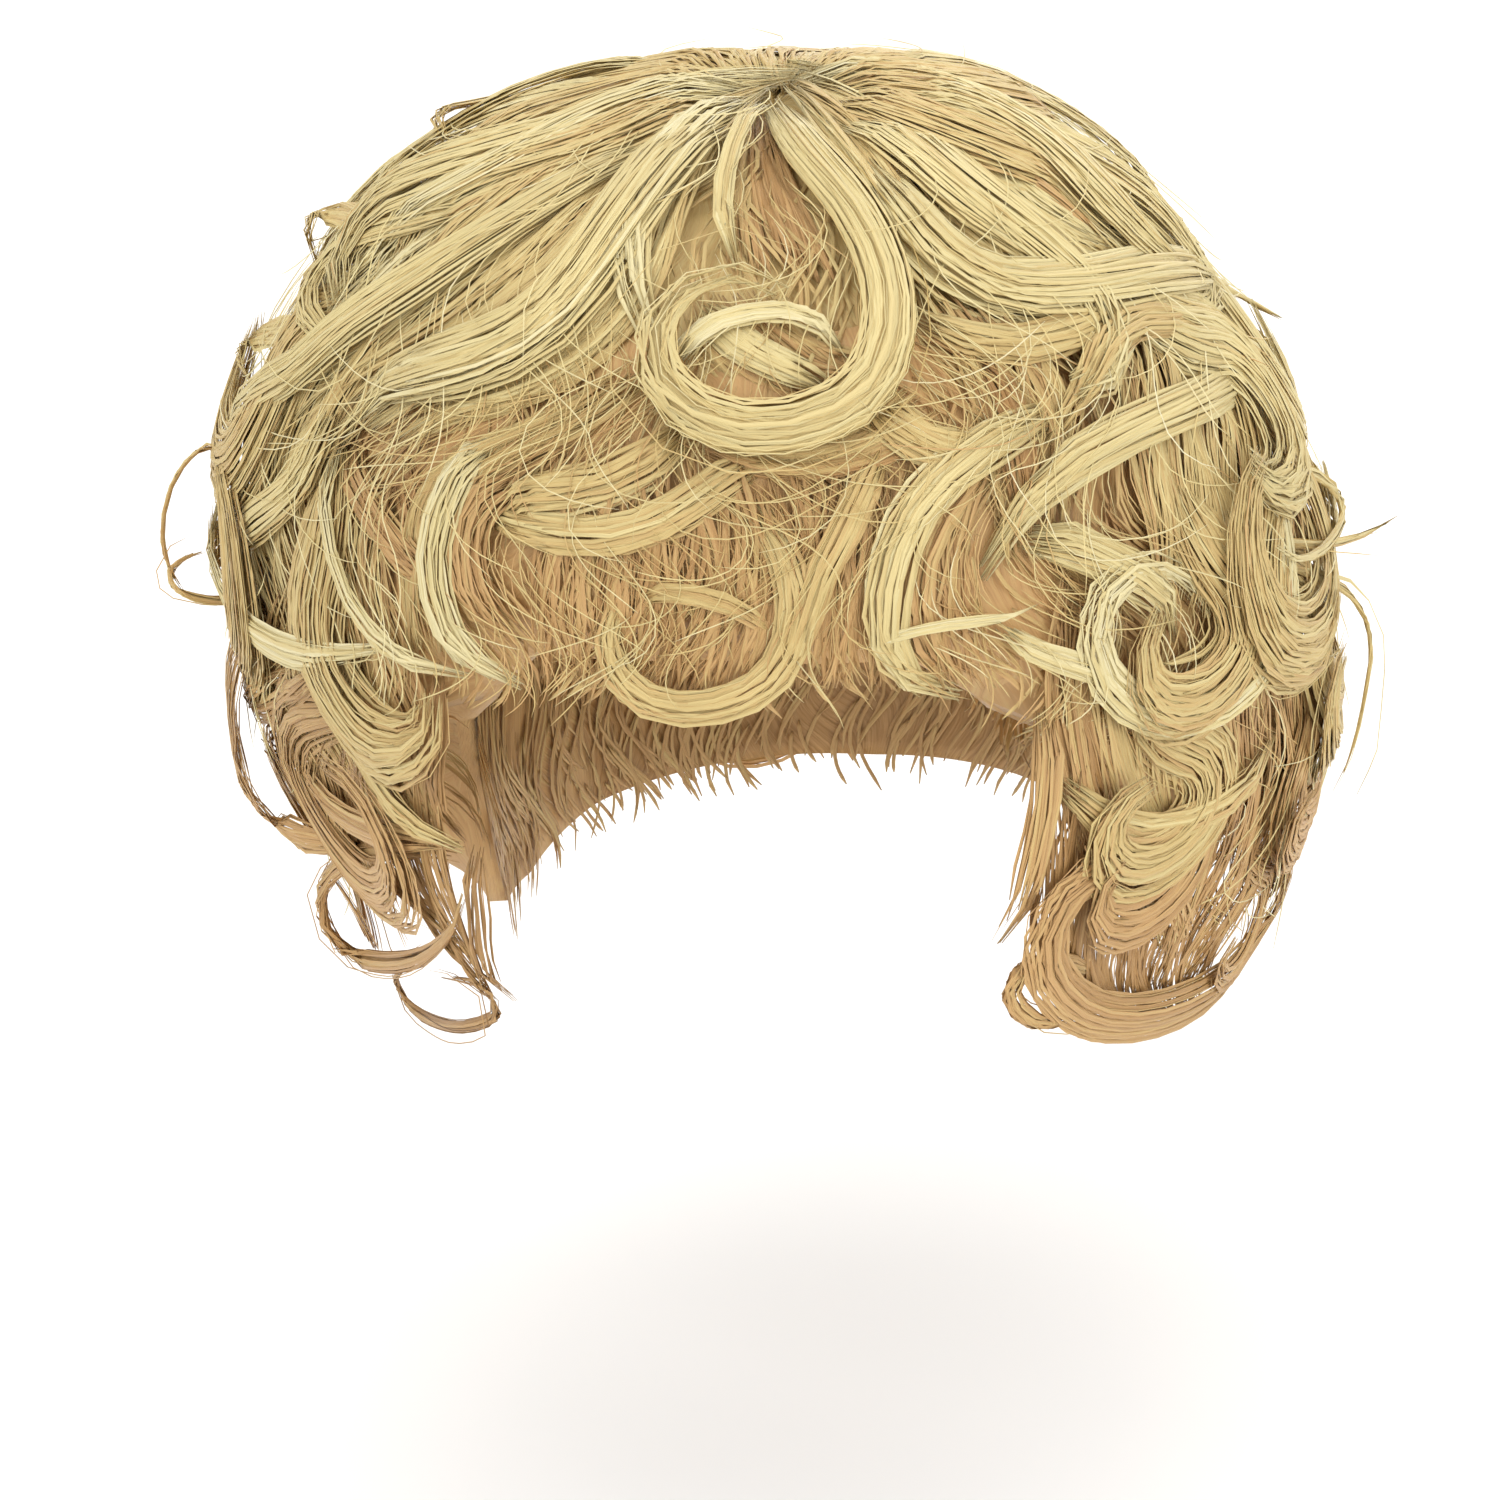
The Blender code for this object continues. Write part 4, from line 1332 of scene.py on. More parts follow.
@dataclass
class HairPiece:
    """One piece of the hair: its body, its locks and the fibres over them."""

    node: str
    slot: str = "hair_blond"
    cell: Cell | None = None
    strokes: tuple[Stroke, ...] = ()
    rows: tuple[CurlRow, ...] = ()
    # The body mostly gets a darker tone than the locks over it: painted shade in the gaps between them
    body_shade: Shade = Shade.HONEY
    body_depth: float = 0.006  # how far the body lies below the middle of the outer locks
    body_step: float = 3.0
    body_room: float = 2.5  # degrees by which the body stops short of the hair's lower edge
    triangle_limit: int = 185000
    fans: tuple[Fan, ...] = ()
    coats: tuple[Coat, ...] = ()
    style: LockStyle = field(default_factory=LockStyle)

    def locks(self, random: np.random.Generator) -> list[Stroke | Curl]:
        """Lists all locks of the piece.

        Args:
            random: Seeded source of the rows' unevenness.

        Returns:
            The locks, undermost first.
        """
        made: list[Stroke | Curl] = []
        for row in self.rows:
            made.extend(row.curls(random))
        return made + list(self.strokes)

    def build_body(self, form: HairForm) -> bpy.types.Object:
        """Makes the closed body of hair that shows between the locks.

        Args:
            form: Form of the hair.

        Returns:
            The body.
        """
        cell = self.cell
        whole = cell.high - cell.low == 360
        columns = round((cell.high - cell.low) / self.body_step)
        levels = round((cell.bottom - cell.top) / self.body_step)
        across, share = np.meshgrid(np.linspace(0, 1, columns + 1), np.linspace(0, 1, levels + 1))
        azimuth = cell.low + (cell.high - cell.low) * across
        lowest = np.minimum(cell.bottom, form.edge(azimuth) - self.body_room)
        polar = cell.top + (lowest - cell.top) * share
        if cell.tuck:
            azimuth = cell.edges(across, polar)
        ridges = 0.0012 * np.sin(np.radians(azimuth * 17 + 40 * np.sin(np.radians(polar * 5))))
        outer = form.height(azimuth, polar) - self.body_depth + ridges
        hem = smooth((share - 0.8) / 0.2) * (lowest < cell.bottom)
        hem = np.maximum(0.85 * hem, cell.thinning(azimuth, polar))
        outer = np.maximum(form.wall + (outer - form.wall) * (1 - hem), form.wall + 0.001)
        sheets = [form.at(azimuth, polar, np.full_like(polar, form.wall)), form.at(azimuth, polar, outer)]

        index = np.arange((levels + 1) * (columns + 1)).reshape(levels + 1, columns + 1)
        if whole:
            index[:, -1] = index[:, 0]
        if cell.top == 0:
            index[0, :] = index[0, 0]
        offset = index.size
        wave = 0.012 * np.sin(np.radians(polar * 11 + 90 * np.sin(np.radians(azimuth * 5))))
        u = 0.04 + 0.9 * across * (cell.high - cell.low) / 360 + wave
        places = [np.stack([u, 0.02 + 0.44 * share], -1), np.stack([u, 0.52 + 0.46 * share], -1)]
        quads: list[tuple[list[int], list[np.ndarray]]] = []

        def patch(corners: list[tuple[int, int, int]]) -> None:
            """Lists one face, as a triangle where two of its corners meet.

            Args:
                corners: Sheet, level and column of each corner.
            """
            verts = [int(index[level, column]) + offset * sheet for sheet, level, column in corners]
            where = [places[sheet][level, column] + (0.02 * sheet, 0) for sheet, level, column in corners]
            kept = [at for at in range(4) if verts[at] != verts[at - 1]]
            if len(kept) > 2:
                quads.append(([verts[at] for at in kept], [where[at] for at in kept]))

        for level in range(levels):
            after = level + 1
            for column in range(columns):
                right = column + 1
                patch([(1, level, column), (1, after, column), (1, after, right), (1, level, right)])
                patch([(0, level, column), (0, level, right), (0, after, right), (0, after, column)])
        for column in range(columns):
            right = column + 1
            patch([(0, levels, column), (0, levels, right), (1, levels, right), (1, levels, column)])
            if cell.top:
                patch([(0, 0, column), (1, 0, column), (1, 0, right), (0, 0, right)])
        for level in range(0 if whole else levels):
            after = level + 1
            patch([(0, level, 0), (0, after, 0), (1, after, 0), (1, level, 0)])
            patch([(0, level, columns), (1, level, columns), (1, after, columns), (0, after, columns)])
        parts = MeshParts()
        used = sorted({vert for verts, _ in quads for vert in verts})
        renumbered = {old: new for new, old in enumerate(used)}
        faces, maps = [], []
        for size in (3, 4):
            group = [(verts, where) for verts, where in quads if len(verts) == size]
            if group:
                faces.append(np.array([[renumbered[vert] for vert in verts] for verts, _ in group]))
                maps.append(np.array([where for _, where in group]))
        points = np.concatenate([sheet.reshape(-1, 3) for sheet in sheets])[used]
        parts.add(points, faces, maps, self.body_shade.value)
        return parts.build(f"{self.node}_body")

    def build(self, form: HairForm, view: StudioView, finishes: Finishes) -> list[bpy.types.Object]:
        """Makes the piece's objects and dresses them.

        Args:
            form: Form of the hair.
            view: Studio view that strokes are drawn in.
            finishes: Materials of the hair.

        Returns:
            The objects.
        """
        random = np.random.default_rng(SEED + sum(map(ord, self.node)))
        maker = LockMaker(form, self.style, random)
        locks = self.locks(random)
        cores = MeshParts()
        fibres = [MeshParts(strands=True)]
        for fan in self.fans:
            fan.add(fibres[-1], form, view, random)
        for number, lock in enumerate(locks):
            path = lock.path(form, view)
            if lock.lay is not Lay.SOFT:
                maker.add_core(cores, path, lock, number, len(locks))
            if fibres[-1].triangles > self.triangle_limit:
                fibres.append(MeshParts(strands=True))
            for strand in (RIBBON, FIBRE):
                maker.add_strands(fibres[-1], path, lock, strand)
        for coat in self.coats:
            if fibres[-1].triangles > self.triangle_limit * 0.7:
                fibres.append(MeshParts(strands=True))
            coat.add(fibres[-1], form, self.cell, random)
        made = [cores.build(f"{self.node}_locks")] if cores.points else []
        self.dress(made, finishes.lock)
        if self.body_depth:
            made.append(self.build_body(form))
            self.dress(made[-1:], finishes.under)
        strands = [parts.build(f"{self.node}_fibres_{number}") for number, parts in enumerate(fibres, 1)]
        self.dress(strands, finishes.fibre)
        triangles = cores.triangles + sum(parts.triangles for parts in fibres)
        log.info("%s: %d locks, %d triangles", self.node, len(locks), triangles)
        return made + strands

    def dress(self, pieces: list[bpy.types.Object], material: bpy.types.Material) -> None:
        """Gives objects their material and hands them to the frame.

        Args:
            pieces: The objects.
            material: Their material.
        """
        for piece in pieces:
            piece.data.materials.append(material)
            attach(piece, "root")
            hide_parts(self.node)


@dataclass
class CrownHair(HairPiece):
    """Hair that leaves the crown and is combed over the top to all sides."""

    node: str = "crown_hair"
    cell: Cell | None = Cell(-180, 180, 0, 50)
    # The deeper layers get darker tones than the outer ones: painted shade under the outer hair
    coats: tuple[Coat, ...] = (
        Coat(380, (0.03, 0.055), (-0.005, -0.003), 0.0, 30, 0.05, 0.0, 0.54, RIBBON, 7),
        Coat(300, (0.03, 0.06), (-0.003, 0.0005), 0.002, 30, 0.05, 500.0, 0.68, FIBRE, 9),
        Coat(130, (0.03, 0.07), (0.001, 0.003), 0.006, 30, 0.05, 1800.0, 0.76, FIBRE, 11),
    )
    body_shade: Shade = Shade.GOLD
    rows: tuple[CurlRow, ...] = (
        CurlRow(75, 285, 12, 5, 34, 6, 0.006, 0.03, 50, 0.024, Shade.GOLD, (-0.004, -0.003)),
        CurlRow(72, 288, 12, 14, 46, -5, 0.007, 0.024, 110, 0.02, Shade.BLOND, (-0.003, 0.001)),
    )
    fans: tuple[Fan, ...] = (
        # From the parting to the left of the picture
        Fan(
            (
                (
                    (833, 68), (760, 50), (680, 50), (600, 60), (520, 88), (450, 125), (390, 170),
                    (345, 205), (305, 250), (270, 320),
                ),
                (
                    (822, 71), (740, 60), (660, 66), (580, 88), (500, 126), (430, 172), (370, 222),
                    (325, 280), (285, 345),
                ),
                (
                    (806, 76), (722, 78), (640, 98), (560, 138), (480, 190), (410, 243), (350, 303),
                    (300, 365), (262, 425),
                ),
                (
                    (792, 81), (712, 96), (640, 130), (560, 188), (490, 243), (425, 293), (365, 343),
                    (310, 388), (268, 440),
                ),
                (
                    (780, 86), (710, 114), (650, 158), (590, 223), (540, 280), (480, 325), (420, 355),
                    (370, 385), (330, 430),
                ),
                (
                    (772, 90), (704, 134), (660, 180), (622, 250), (585, 310), (530, 352), (470, 380),
                    (410, 398), (360, 430),
                ),
                (
                    (766, 94), (715, 150), (690, 200), (670, 260), (640, 320), (590, 370), (530, 402),
                    (470, 422), (410, 452),
                ),
            ),
            (Shade.BLOND, Shade.BLOND, Shade.PALE, Shade.BLOND, Shade.GOLD, Shade.BLOND, Shade.GOLD),
            300,
            330,
        ),
        # From the parting to the right
        Fan(
            (
                (
                    (833, 66), (880, 55), (940, 60), (1000, 85), (1060, 118), (1110, 160), (1150, 205),
                    (1180, 250), (1210, 300),
                ),
                (
                    (822, 71), (870, 71), (930, 88), (990, 120), (1045, 160), (1095, 205), (1135, 240),
                    (1185, 265),
                ),
                (
                    (806, 76), (850, 88), (905, 118), (955, 158), (1000, 200), (1045, 235), (1100, 255),
                    (1165, 265),
                ),
                (
                    (792, 82), (830, 106), (875, 150), (915, 200), (960, 245), (1010, 272), (1080, 280),
                    (1150, 278),
                ),
                (
                    (782, 88), (815, 130), (855, 185), (885, 240), (925, 290), (980, 315), (1050, 322),
                    (1120, 315),
                ),
            ),
            (Shade.BLOND, Shade.PALE, Shade.BLOND, Shade.GOLD, Shade.BLOND),
            190,
            220,
        ),
        # Hollow between the ring curl and the wave beside it, in darker tones: painted shade
        Fan(
            (
                ((748, 130), (735, 180), (728, 230), (730, 290)),
                ((756, 120), (760, 175), (772, 225), (790, 280)),
                ((764, 112), (785, 165), (812, 220), (845, 290)),
            ),
            (Shade.GOLD, Shade.BROWN, Shade.HONEY),
            60,
            60,
            -0.004,
        ),
    )
    strokes: tuple[Stroke, ...] = (
        # Broad pale lock along the top of the outline to the left: painted highlight
        Stroke(
            ((770, 86), (700, 88), (640, 102), (570, 130), (500, 167), (400, 221), (330, 292)),
            0.015, Shade.PALE, (0.0, 0.001),
        ),
        Stroke(
            ((700, 60), (600, 72), (520, 96), (450, 134), (380, 184), (320, 240)),
            0.013, Shade.BLOND, (0.0, 0.001),
        ),
        Stroke(
            ((690, 110), (600, 142), (520, 192), (440, 256), (370, 320)),
            0.012, Shade.GOLD, (-0.001, 0.0),
        ),
        # Broad pale lock along the top of the outline to the right: painted highlight
        Stroke(
            ((790, 76), (850, 70), (920, 80), (1000, 110), (1060, 154), (1110, 204), (1155, 250)),
            0.014, Shade.PALE, (0.0, 0.001),
        ),
        Stroke(
            ((840, 110), (900, 150), (955, 196), (1010, 236), (1070, 262)),
            0.013, Shade.BLOND, (0.0, 0.001),
        ),
        # Darker lock laid low near the right of the crown: painted shade in the gap there
        Stroke(((1010, 165), (1050, 195), (1085, 225), (1118, 252)), 0.008, Shade.HONEY, (-0.001, -0.001)),
        # The two waves that leave the parting to the left
        Stroke(
            (
                (690, 118), (600, 170), (500, 230), (420, 280), (350, 325), (300, 370), (250, 402),
                (222, 450),
                (208, 500), (213, 560),
            ),
            0.013, Shade.BLOND, (0.0, 0.002, 0.002),
        ),
        Stroke(
            (
                (745, 104), (690, 140), (645, 190), (602, 250), (560, 306), (502, 346), (432, 368),
                (372, 386),
                (345, 412), (330, 445),
            ),
            0.017, Shade.BLOND, (0.0, 0.002, 0.001),
        ),
        Stroke(
            ((680, 158), (640, 210), (598, 268), (545, 322), (480, 352), (420, 366)),
            0.007, Shade.PALE, (0.002, 0.003),
        ),
        Stroke(
            ((762, 90), (705, 116), (665, 155), (632, 208), (626, 255), (636, 310), (652, 348)),
            0.011, Shade.PALE, (0.0, 0.003),
        ),
        Stroke(
            ((765, 90), (745, 118), (728, 160), (722, 210), (738, 262)),
            0.004, Shade.BLOND, (0.002, 0.003),
        ),
        # Blunt ends at the left of the outline
        Stroke(((520, 96), (475, 105), (441, 114), (430, 140)), 0.005, Shade.GOLD, (0.0, 0.003)),
        Stroke(((370, 225), (335, 215), (308, 224), (298, 262)), 0.007, Shade.GOLD, (0.0, 0.003)),
        Stroke(((300, 330), (262, 338), (238, 358), (236, 394)), 0.008, Shade.GOLD, (0.0, 0.003)),
    )


@dataclass
class ForeheadCurl(HairPiece):
    """Large rolled ring curl over the front."""

    node: str = "forehead_curl"
    body_depth: float = 0.0
    fans: tuple[Fan, ...] = (
        # Hair inside the ring
        Fan(
            (
                ((672, 300), (690, 345), (730, 385), (790, 412)),
                ((720, 290), (745, 330), (790, 365), (845, 390)),
                ((780, 290), (810, 320), (845, 345), (875, 350)),
            ),
            (Shade.GOLD, Shade.HONEY, Shade.GOLD),
            40,
            40,
            -0.003,
            stations=8,
        ),
    )
    strokes: tuple[Stroke, ...] = (
        Stroke(((700, 300), (735, 340), (785, 368), (845, 388)), 0.008, Shade.BLOND, (-0.002, 0.0)),
        Stroke(
            ((665, 372), (700, 332), (740, 316), (790, 312), (830, 328), (852, 352)),
            0.005, Shade.PALE, (0.001, 0.002),
        ),
        Stroke(
            (
                (772, 90), (800, 140), (850, 200), (878, 250), (890, 300), (885, 350), (858, 396),
                (800, 424),
                (740, 428), (692, 410), (662, 380), (654, 340), (668, 302), (702, 276), (748, 268),
                (785, 290),
            ),
            0.0125, Shade.BLOND, (0.0, 0.005, 0.005), lay=Lay.LOCK, tip_sink=0.002,
        ),
    )


@dataclass
class FringeCurls(HairPiece):
    """Short curls that hang under the ring curl."""

    node: str = "fringe_curls"
    cell: Cell | None = Cell(-45, 45, 47, 96)
    # The deeper layers get darker tones than the outer ones: painted shade under the outer hair
    coats: tuple[Coat, ...] = (
        Coat(240, (0.02, 0.045), (-0.0035, -0.002), 0.0, 50, 0.05, 0.0, 0.45, RIBBON, 7),
        Coat(330, (0.02, 0.05), (-0.002, 0.0005), 0.003, 50, 0.05, 900.0, 0.54, FIBRE, 9),
        Coat(110, (0.03, 0.06), (0.0, 0.003), 0.006, 60, 0.05, 2200.0, 0.7, FIBRE, 12),
    )
    body_shade: Shade = Shade.HONEY
    body_depth: float = 0.0035
    fans: tuple[Fan, ...] = (
        # Hair that leaves the waves to the left
        Fan(
            (
                ((655, 385), (595, 430), (535, 455), (480, 485), (452, 530), (442, 590), (452, 655)),
                ((620, 365), (560, 405), (495, 432), (440, 465), (410, 520), (402, 590), (408, 655)),
            ),
            (Shade.GOLD, Shade.GOLD),
            60,
            60,
        ),
        # Fine hair over the front
        Fan(
            (
                ((560, 450), (540, 520), (530, 600), (545, 680)),
                ((640, 450), (640, 540), (630, 620), (620, 690)),
                ((720, 460), (740, 540), (745, 620), (715, 695)),
                ((800, 465), (815, 550), (810, 630), (790, 690)),
                ((900, 460), (890, 550), (885, 630), (900, 690)),
                ((990, 460), (975, 550), (985, 630), (1010, 690)),
            ),
            (Shade.HONEY, Shade.HONEY, Shade.HONEY, Shade.HONEY, Shade.HONEY, Shade.HONEY),
            150,
            240,
            -0.001,
            0.0006,
        ),
        # Hair under the ring curl
        Fan(
            (
                ((690, 405), (740, 435), (800, 445), (860, 425), (910, 380)),
                ((670, 440), (730, 470), (800, 480), (880, 465), (950, 430)),
            ),
            (Shade.GOLD, Shade.HONEY),
            40,
            50,
        ),
    )
    strokes: tuple[Stroke, ...] = (
        Stroke(
            ((780, 448), (730, 475), (680, 512), (620, 535), (560, 535), (500, 520), (455, 505)),
            0.009, Shade.GOLD, (-0.001, 0.0),
        ),
        Stroke(
            ((690, 425), (650, 462), (590, 490), (530, 495), (480, 520)),
            0.010, Shade.GOLD, (-0.001, 0.0),
        ),
        Stroke(((870, 395), (900, 430), (950, 452), (1000, 442)), 0.010, Shade.GOLD, (-0.001, 0.0)),
        Stroke(
            ((525, 470), (484, 500), (468, 545), (478, 600), (512, 650)),
            0.010, Shade.HONEY, (-0.001, 0.0),
        ),
        # Ring of strands in the middle
        Stroke(
            (
                (735, 490), (765, 522), (788, 562), (796, 602), (790, 645), (768, 680), (732, 700),
                (685, 708),
                (640, 696), (612, 662), (606, 622), (622, 592), (655, 578),
            ),
            0.008, Shade.GOLD, (0.0, 0.002), 0.25,
        ),
        Stroke(
            ((630, 604), (662, 592), (700, 596), (742, 612), (782, 645)),
            0.004, Shade.GOLD, (0.0, 0.001),
        ),
        Stroke(
            ((890, 440), (862, 490), (840, 540), (818, 580), (806, 622), (790, 662), (758, 692)),
            0.007, Shade.GOLD, (0.0, 0.002), 0.25,
        ),
        Stroke(
            ((1000, 442), (955, 490), (925, 540), (915, 600), (930, 650), (965, 690)),
            0.008, Shade.HONEY, (-0.001, 0.001),
        ),
        # Locks at both ends
        Stroke(
            (
                (505, 432), (468, 460), (443, 510), (434, 560), (442, 610), (460, 650), (488, 680),
                (512, 696),
            ),
            0.009, Shade.PALE, (0.0, 0.003),
        ),
        Stroke(
            (
                (1062, 408), (1010, 432), (955, 468), (917, 510), (896, 560), (886, 615), (892, 655),
                (924, 690),
                (962, 698),
            ),
            0.010, Shade.BLOND, (0.0, 0.003),
        ),
    )


@dataclass
class RightSideCurls(HairPiece):
    """Mass of curls at -X."""

    node: str = "right_side_curls"
    cell: Cell | None = Cell(-120, -41, 49, 156, 14)
    coats: tuple[Coat, ...] = combed_coats(420, 260, 110, 45, (0.42, 0.56), 300)
    body_shade: Shade = Shade.HONEY
    rows: tuple[CurlRow, ...] = (
        CurlRow(-112, -70, 3, 52, 66, -6, 0.006, 0.022, 260, 0.019, Shade.GOLD),
        CurlRow(-116, -62, 4, 70, 84, 5, 0.006, 0.02, 280, 0.018, Shade.GOLD),
        CurlRow(-112, -58, 4, 90, 102, -5, 0.006, 0.02, 280, 0.017, Shade.HONEY),
        CurlRow(-114, -68, 4, 106, 118, 5, 0.005, 0.016, 280, 0.014, Shade.HONEY),
        CurlRow(-114, -72, 4, 120, 130, -4, 0.004, 0.012, 280, 0.011, Shade.HONEY),
    )
    fans: tuple[Fan, ...] = (
        Fan(
            (
                ((480, 250), (420, 310), (375, 370), (340, 430), (325, 500), (335, 570)),
                ((400, 260), (345, 320), (300, 380), (268, 450), (260, 530), (285, 610)),
                ((320, 270), (275, 340), (248, 410), (238, 480), (240, 550), (262, 620)),
            ),
            (Shade.GOLD, Shade.BLOND, Shade.BLOND),
            110,
            90,
        ),
        Fan(
            (
                ((410, 450), (385, 530), (390, 610), (420, 690), (436, 770), (450, 850)),
                ((340, 540), (325, 630), (345, 710), (385, 780), (432, 850)),
                ((270, 600), (248, 680), (253, 760), (290, 820), (345, 852)),
            ),
            (Shade.HONEY, Shade.GOLD, Shade.HONEY),
            130,
            80,
        ),
        # Down to the lower end
        Fan(
            (
                ((440, 700), (436, 770), (440, 840), (452, 900), (480, 970), (500, 1005)),
                ((390, 720), (385, 780), (400, 850), (420, 900), (450, 950), (485, 990)),
                ((310, 740), (312, 800), (345, 850), (385, 880), (420, 900), (460, 930)),
            ),
            (Shade.HONEY, Shade.BROWN, Shade.HONEY),
            110,
            70,
        ),
    )
    strokes: tuple[Stroke, ...] = (
        # Curl at the top of the side
        Stroke(
            ((500, 190), (440, 215), (365, 235), (323, 268), (308, 305), (325, 335), (350, 325)),
            0.008, Shade.BLOND, (0.0, 0.003),
        ),
        # Ring at the side, and what sweeps on below it
        Stroke(
            ((335, 380), (325, 430), (303, 480), (265, 515), (228, 545)),
            0.010, Shade.BLOND, (-0.001, 0.002),
        ),
        Stroke(
            ((300, 330), (262, 390), (240, 450), (250, 520), (290, 570)),
            0.012, Shade.GOLD, (-0.004, -0.002),
        ),
        Stroke(
            ((212, 480), (214, 550), (236, 608), (270, 640), (315, 655), (370, 652)),
            0.008, Shade.PALE, (0.002, 0.004),
        ),
        Stroke(
            ((345, 440), (362, 490), (385, 530), (412, 565), (438, 605)),
            0.009, Shade.HONEY, (-0.002, 0.0),
        ),
        Stroke(
            ((334, 430), (327, 480), (328, 525), (340, 575), (362, 620), (405, 662), (455, 682)),
            0.005, Shade.PALE, (0.001, 0.004),
        ),
        # Dark brown lock laid low between the others: painted shade in the gap
        Stroke(((400, 450), (415, 510), (420, 570), (415, 630)), 0.010, Shade.BROWN, (-0.004, -0.003)),
        # Lower locks, warmer in shade
        Stroke(
            ((250, 610), (238, 680), (242, 740), (255, 792), (292, 830), (345, 850)),
            0.011, Shade.HONEY,
        ),
        Stroke(
            ((330, 655), (300, 690), (262, 712), (250, 690), (272, 668)),
            0.006, Shade.HONEY, (0.0, 0.003),
        ),
        Stroke(
            ((350, 655), (345, 700), (358, 745), (385, 790), (415, 828), (448, 858)),
            0.009, Shade.GOLD, (0.0, 0.004),
        ),
        Stroke(
            ((306, 735), (314, 780), (345, 815), (395, 838), (445, 850)),
            0.008, Shade.HONEY, (0.0, 0.003),
        ),
        # Dark brown lock laid low between the others: painted shade in the gap
        Stroke(((432, 660), (440, 720), (436, 780), (448, 850)), 0.006, Shade.BROWN, (-0.002, 0.0)),
        # Small open rings at the lower end
        Stroke(
            (
                (450, 862), (400, 850), (350, 858), (321, 890), (326, 930), (360, 958), (412, 960),
                (450, 932),
                (464, 892),
            ),
            0.0055, Shade.HONEY, (0.0, 0.003), lay=Lay.LOOSE, tip_sink=0.0,
        ),
        Stroke(
            ((400, 955), (396, 985), (420, 1014), (460, 1027), (497, 1014), (482, 986), (442, 976)),
            0.003, Shade.BROWN, (0.0, 0.0), lay=Lay.LOOSE, tip_sink=0.0,
        ),
        # Dark brown lock laid low between the others: painted shade in the gap
        Stroke(((470, 850), (478, 900), (482, 950), (500, 1012)), 0.006, Shade.BROWN, (-0.002, 0.0)),
        # Thin rings that stand out at the side
        Stroke(
            ((236, 440), (204, 446), (176, 476), (163, 520), (166, 560), (184, 592)),
            0.002, Shade.GOLD, (0.0, 0.006), lay=Lay.LOOSE, tip_sink=0.0,
        ),
        Stroke(
            ((240, 602), (202, 599), (176, 589), (170, 571), (188, 556), (206, 551)),
            0.0028, Shade.GOLD, (0.0, 0.006), lay=Lay.LOOSE, tip_sink=0.0,
        ),
    )


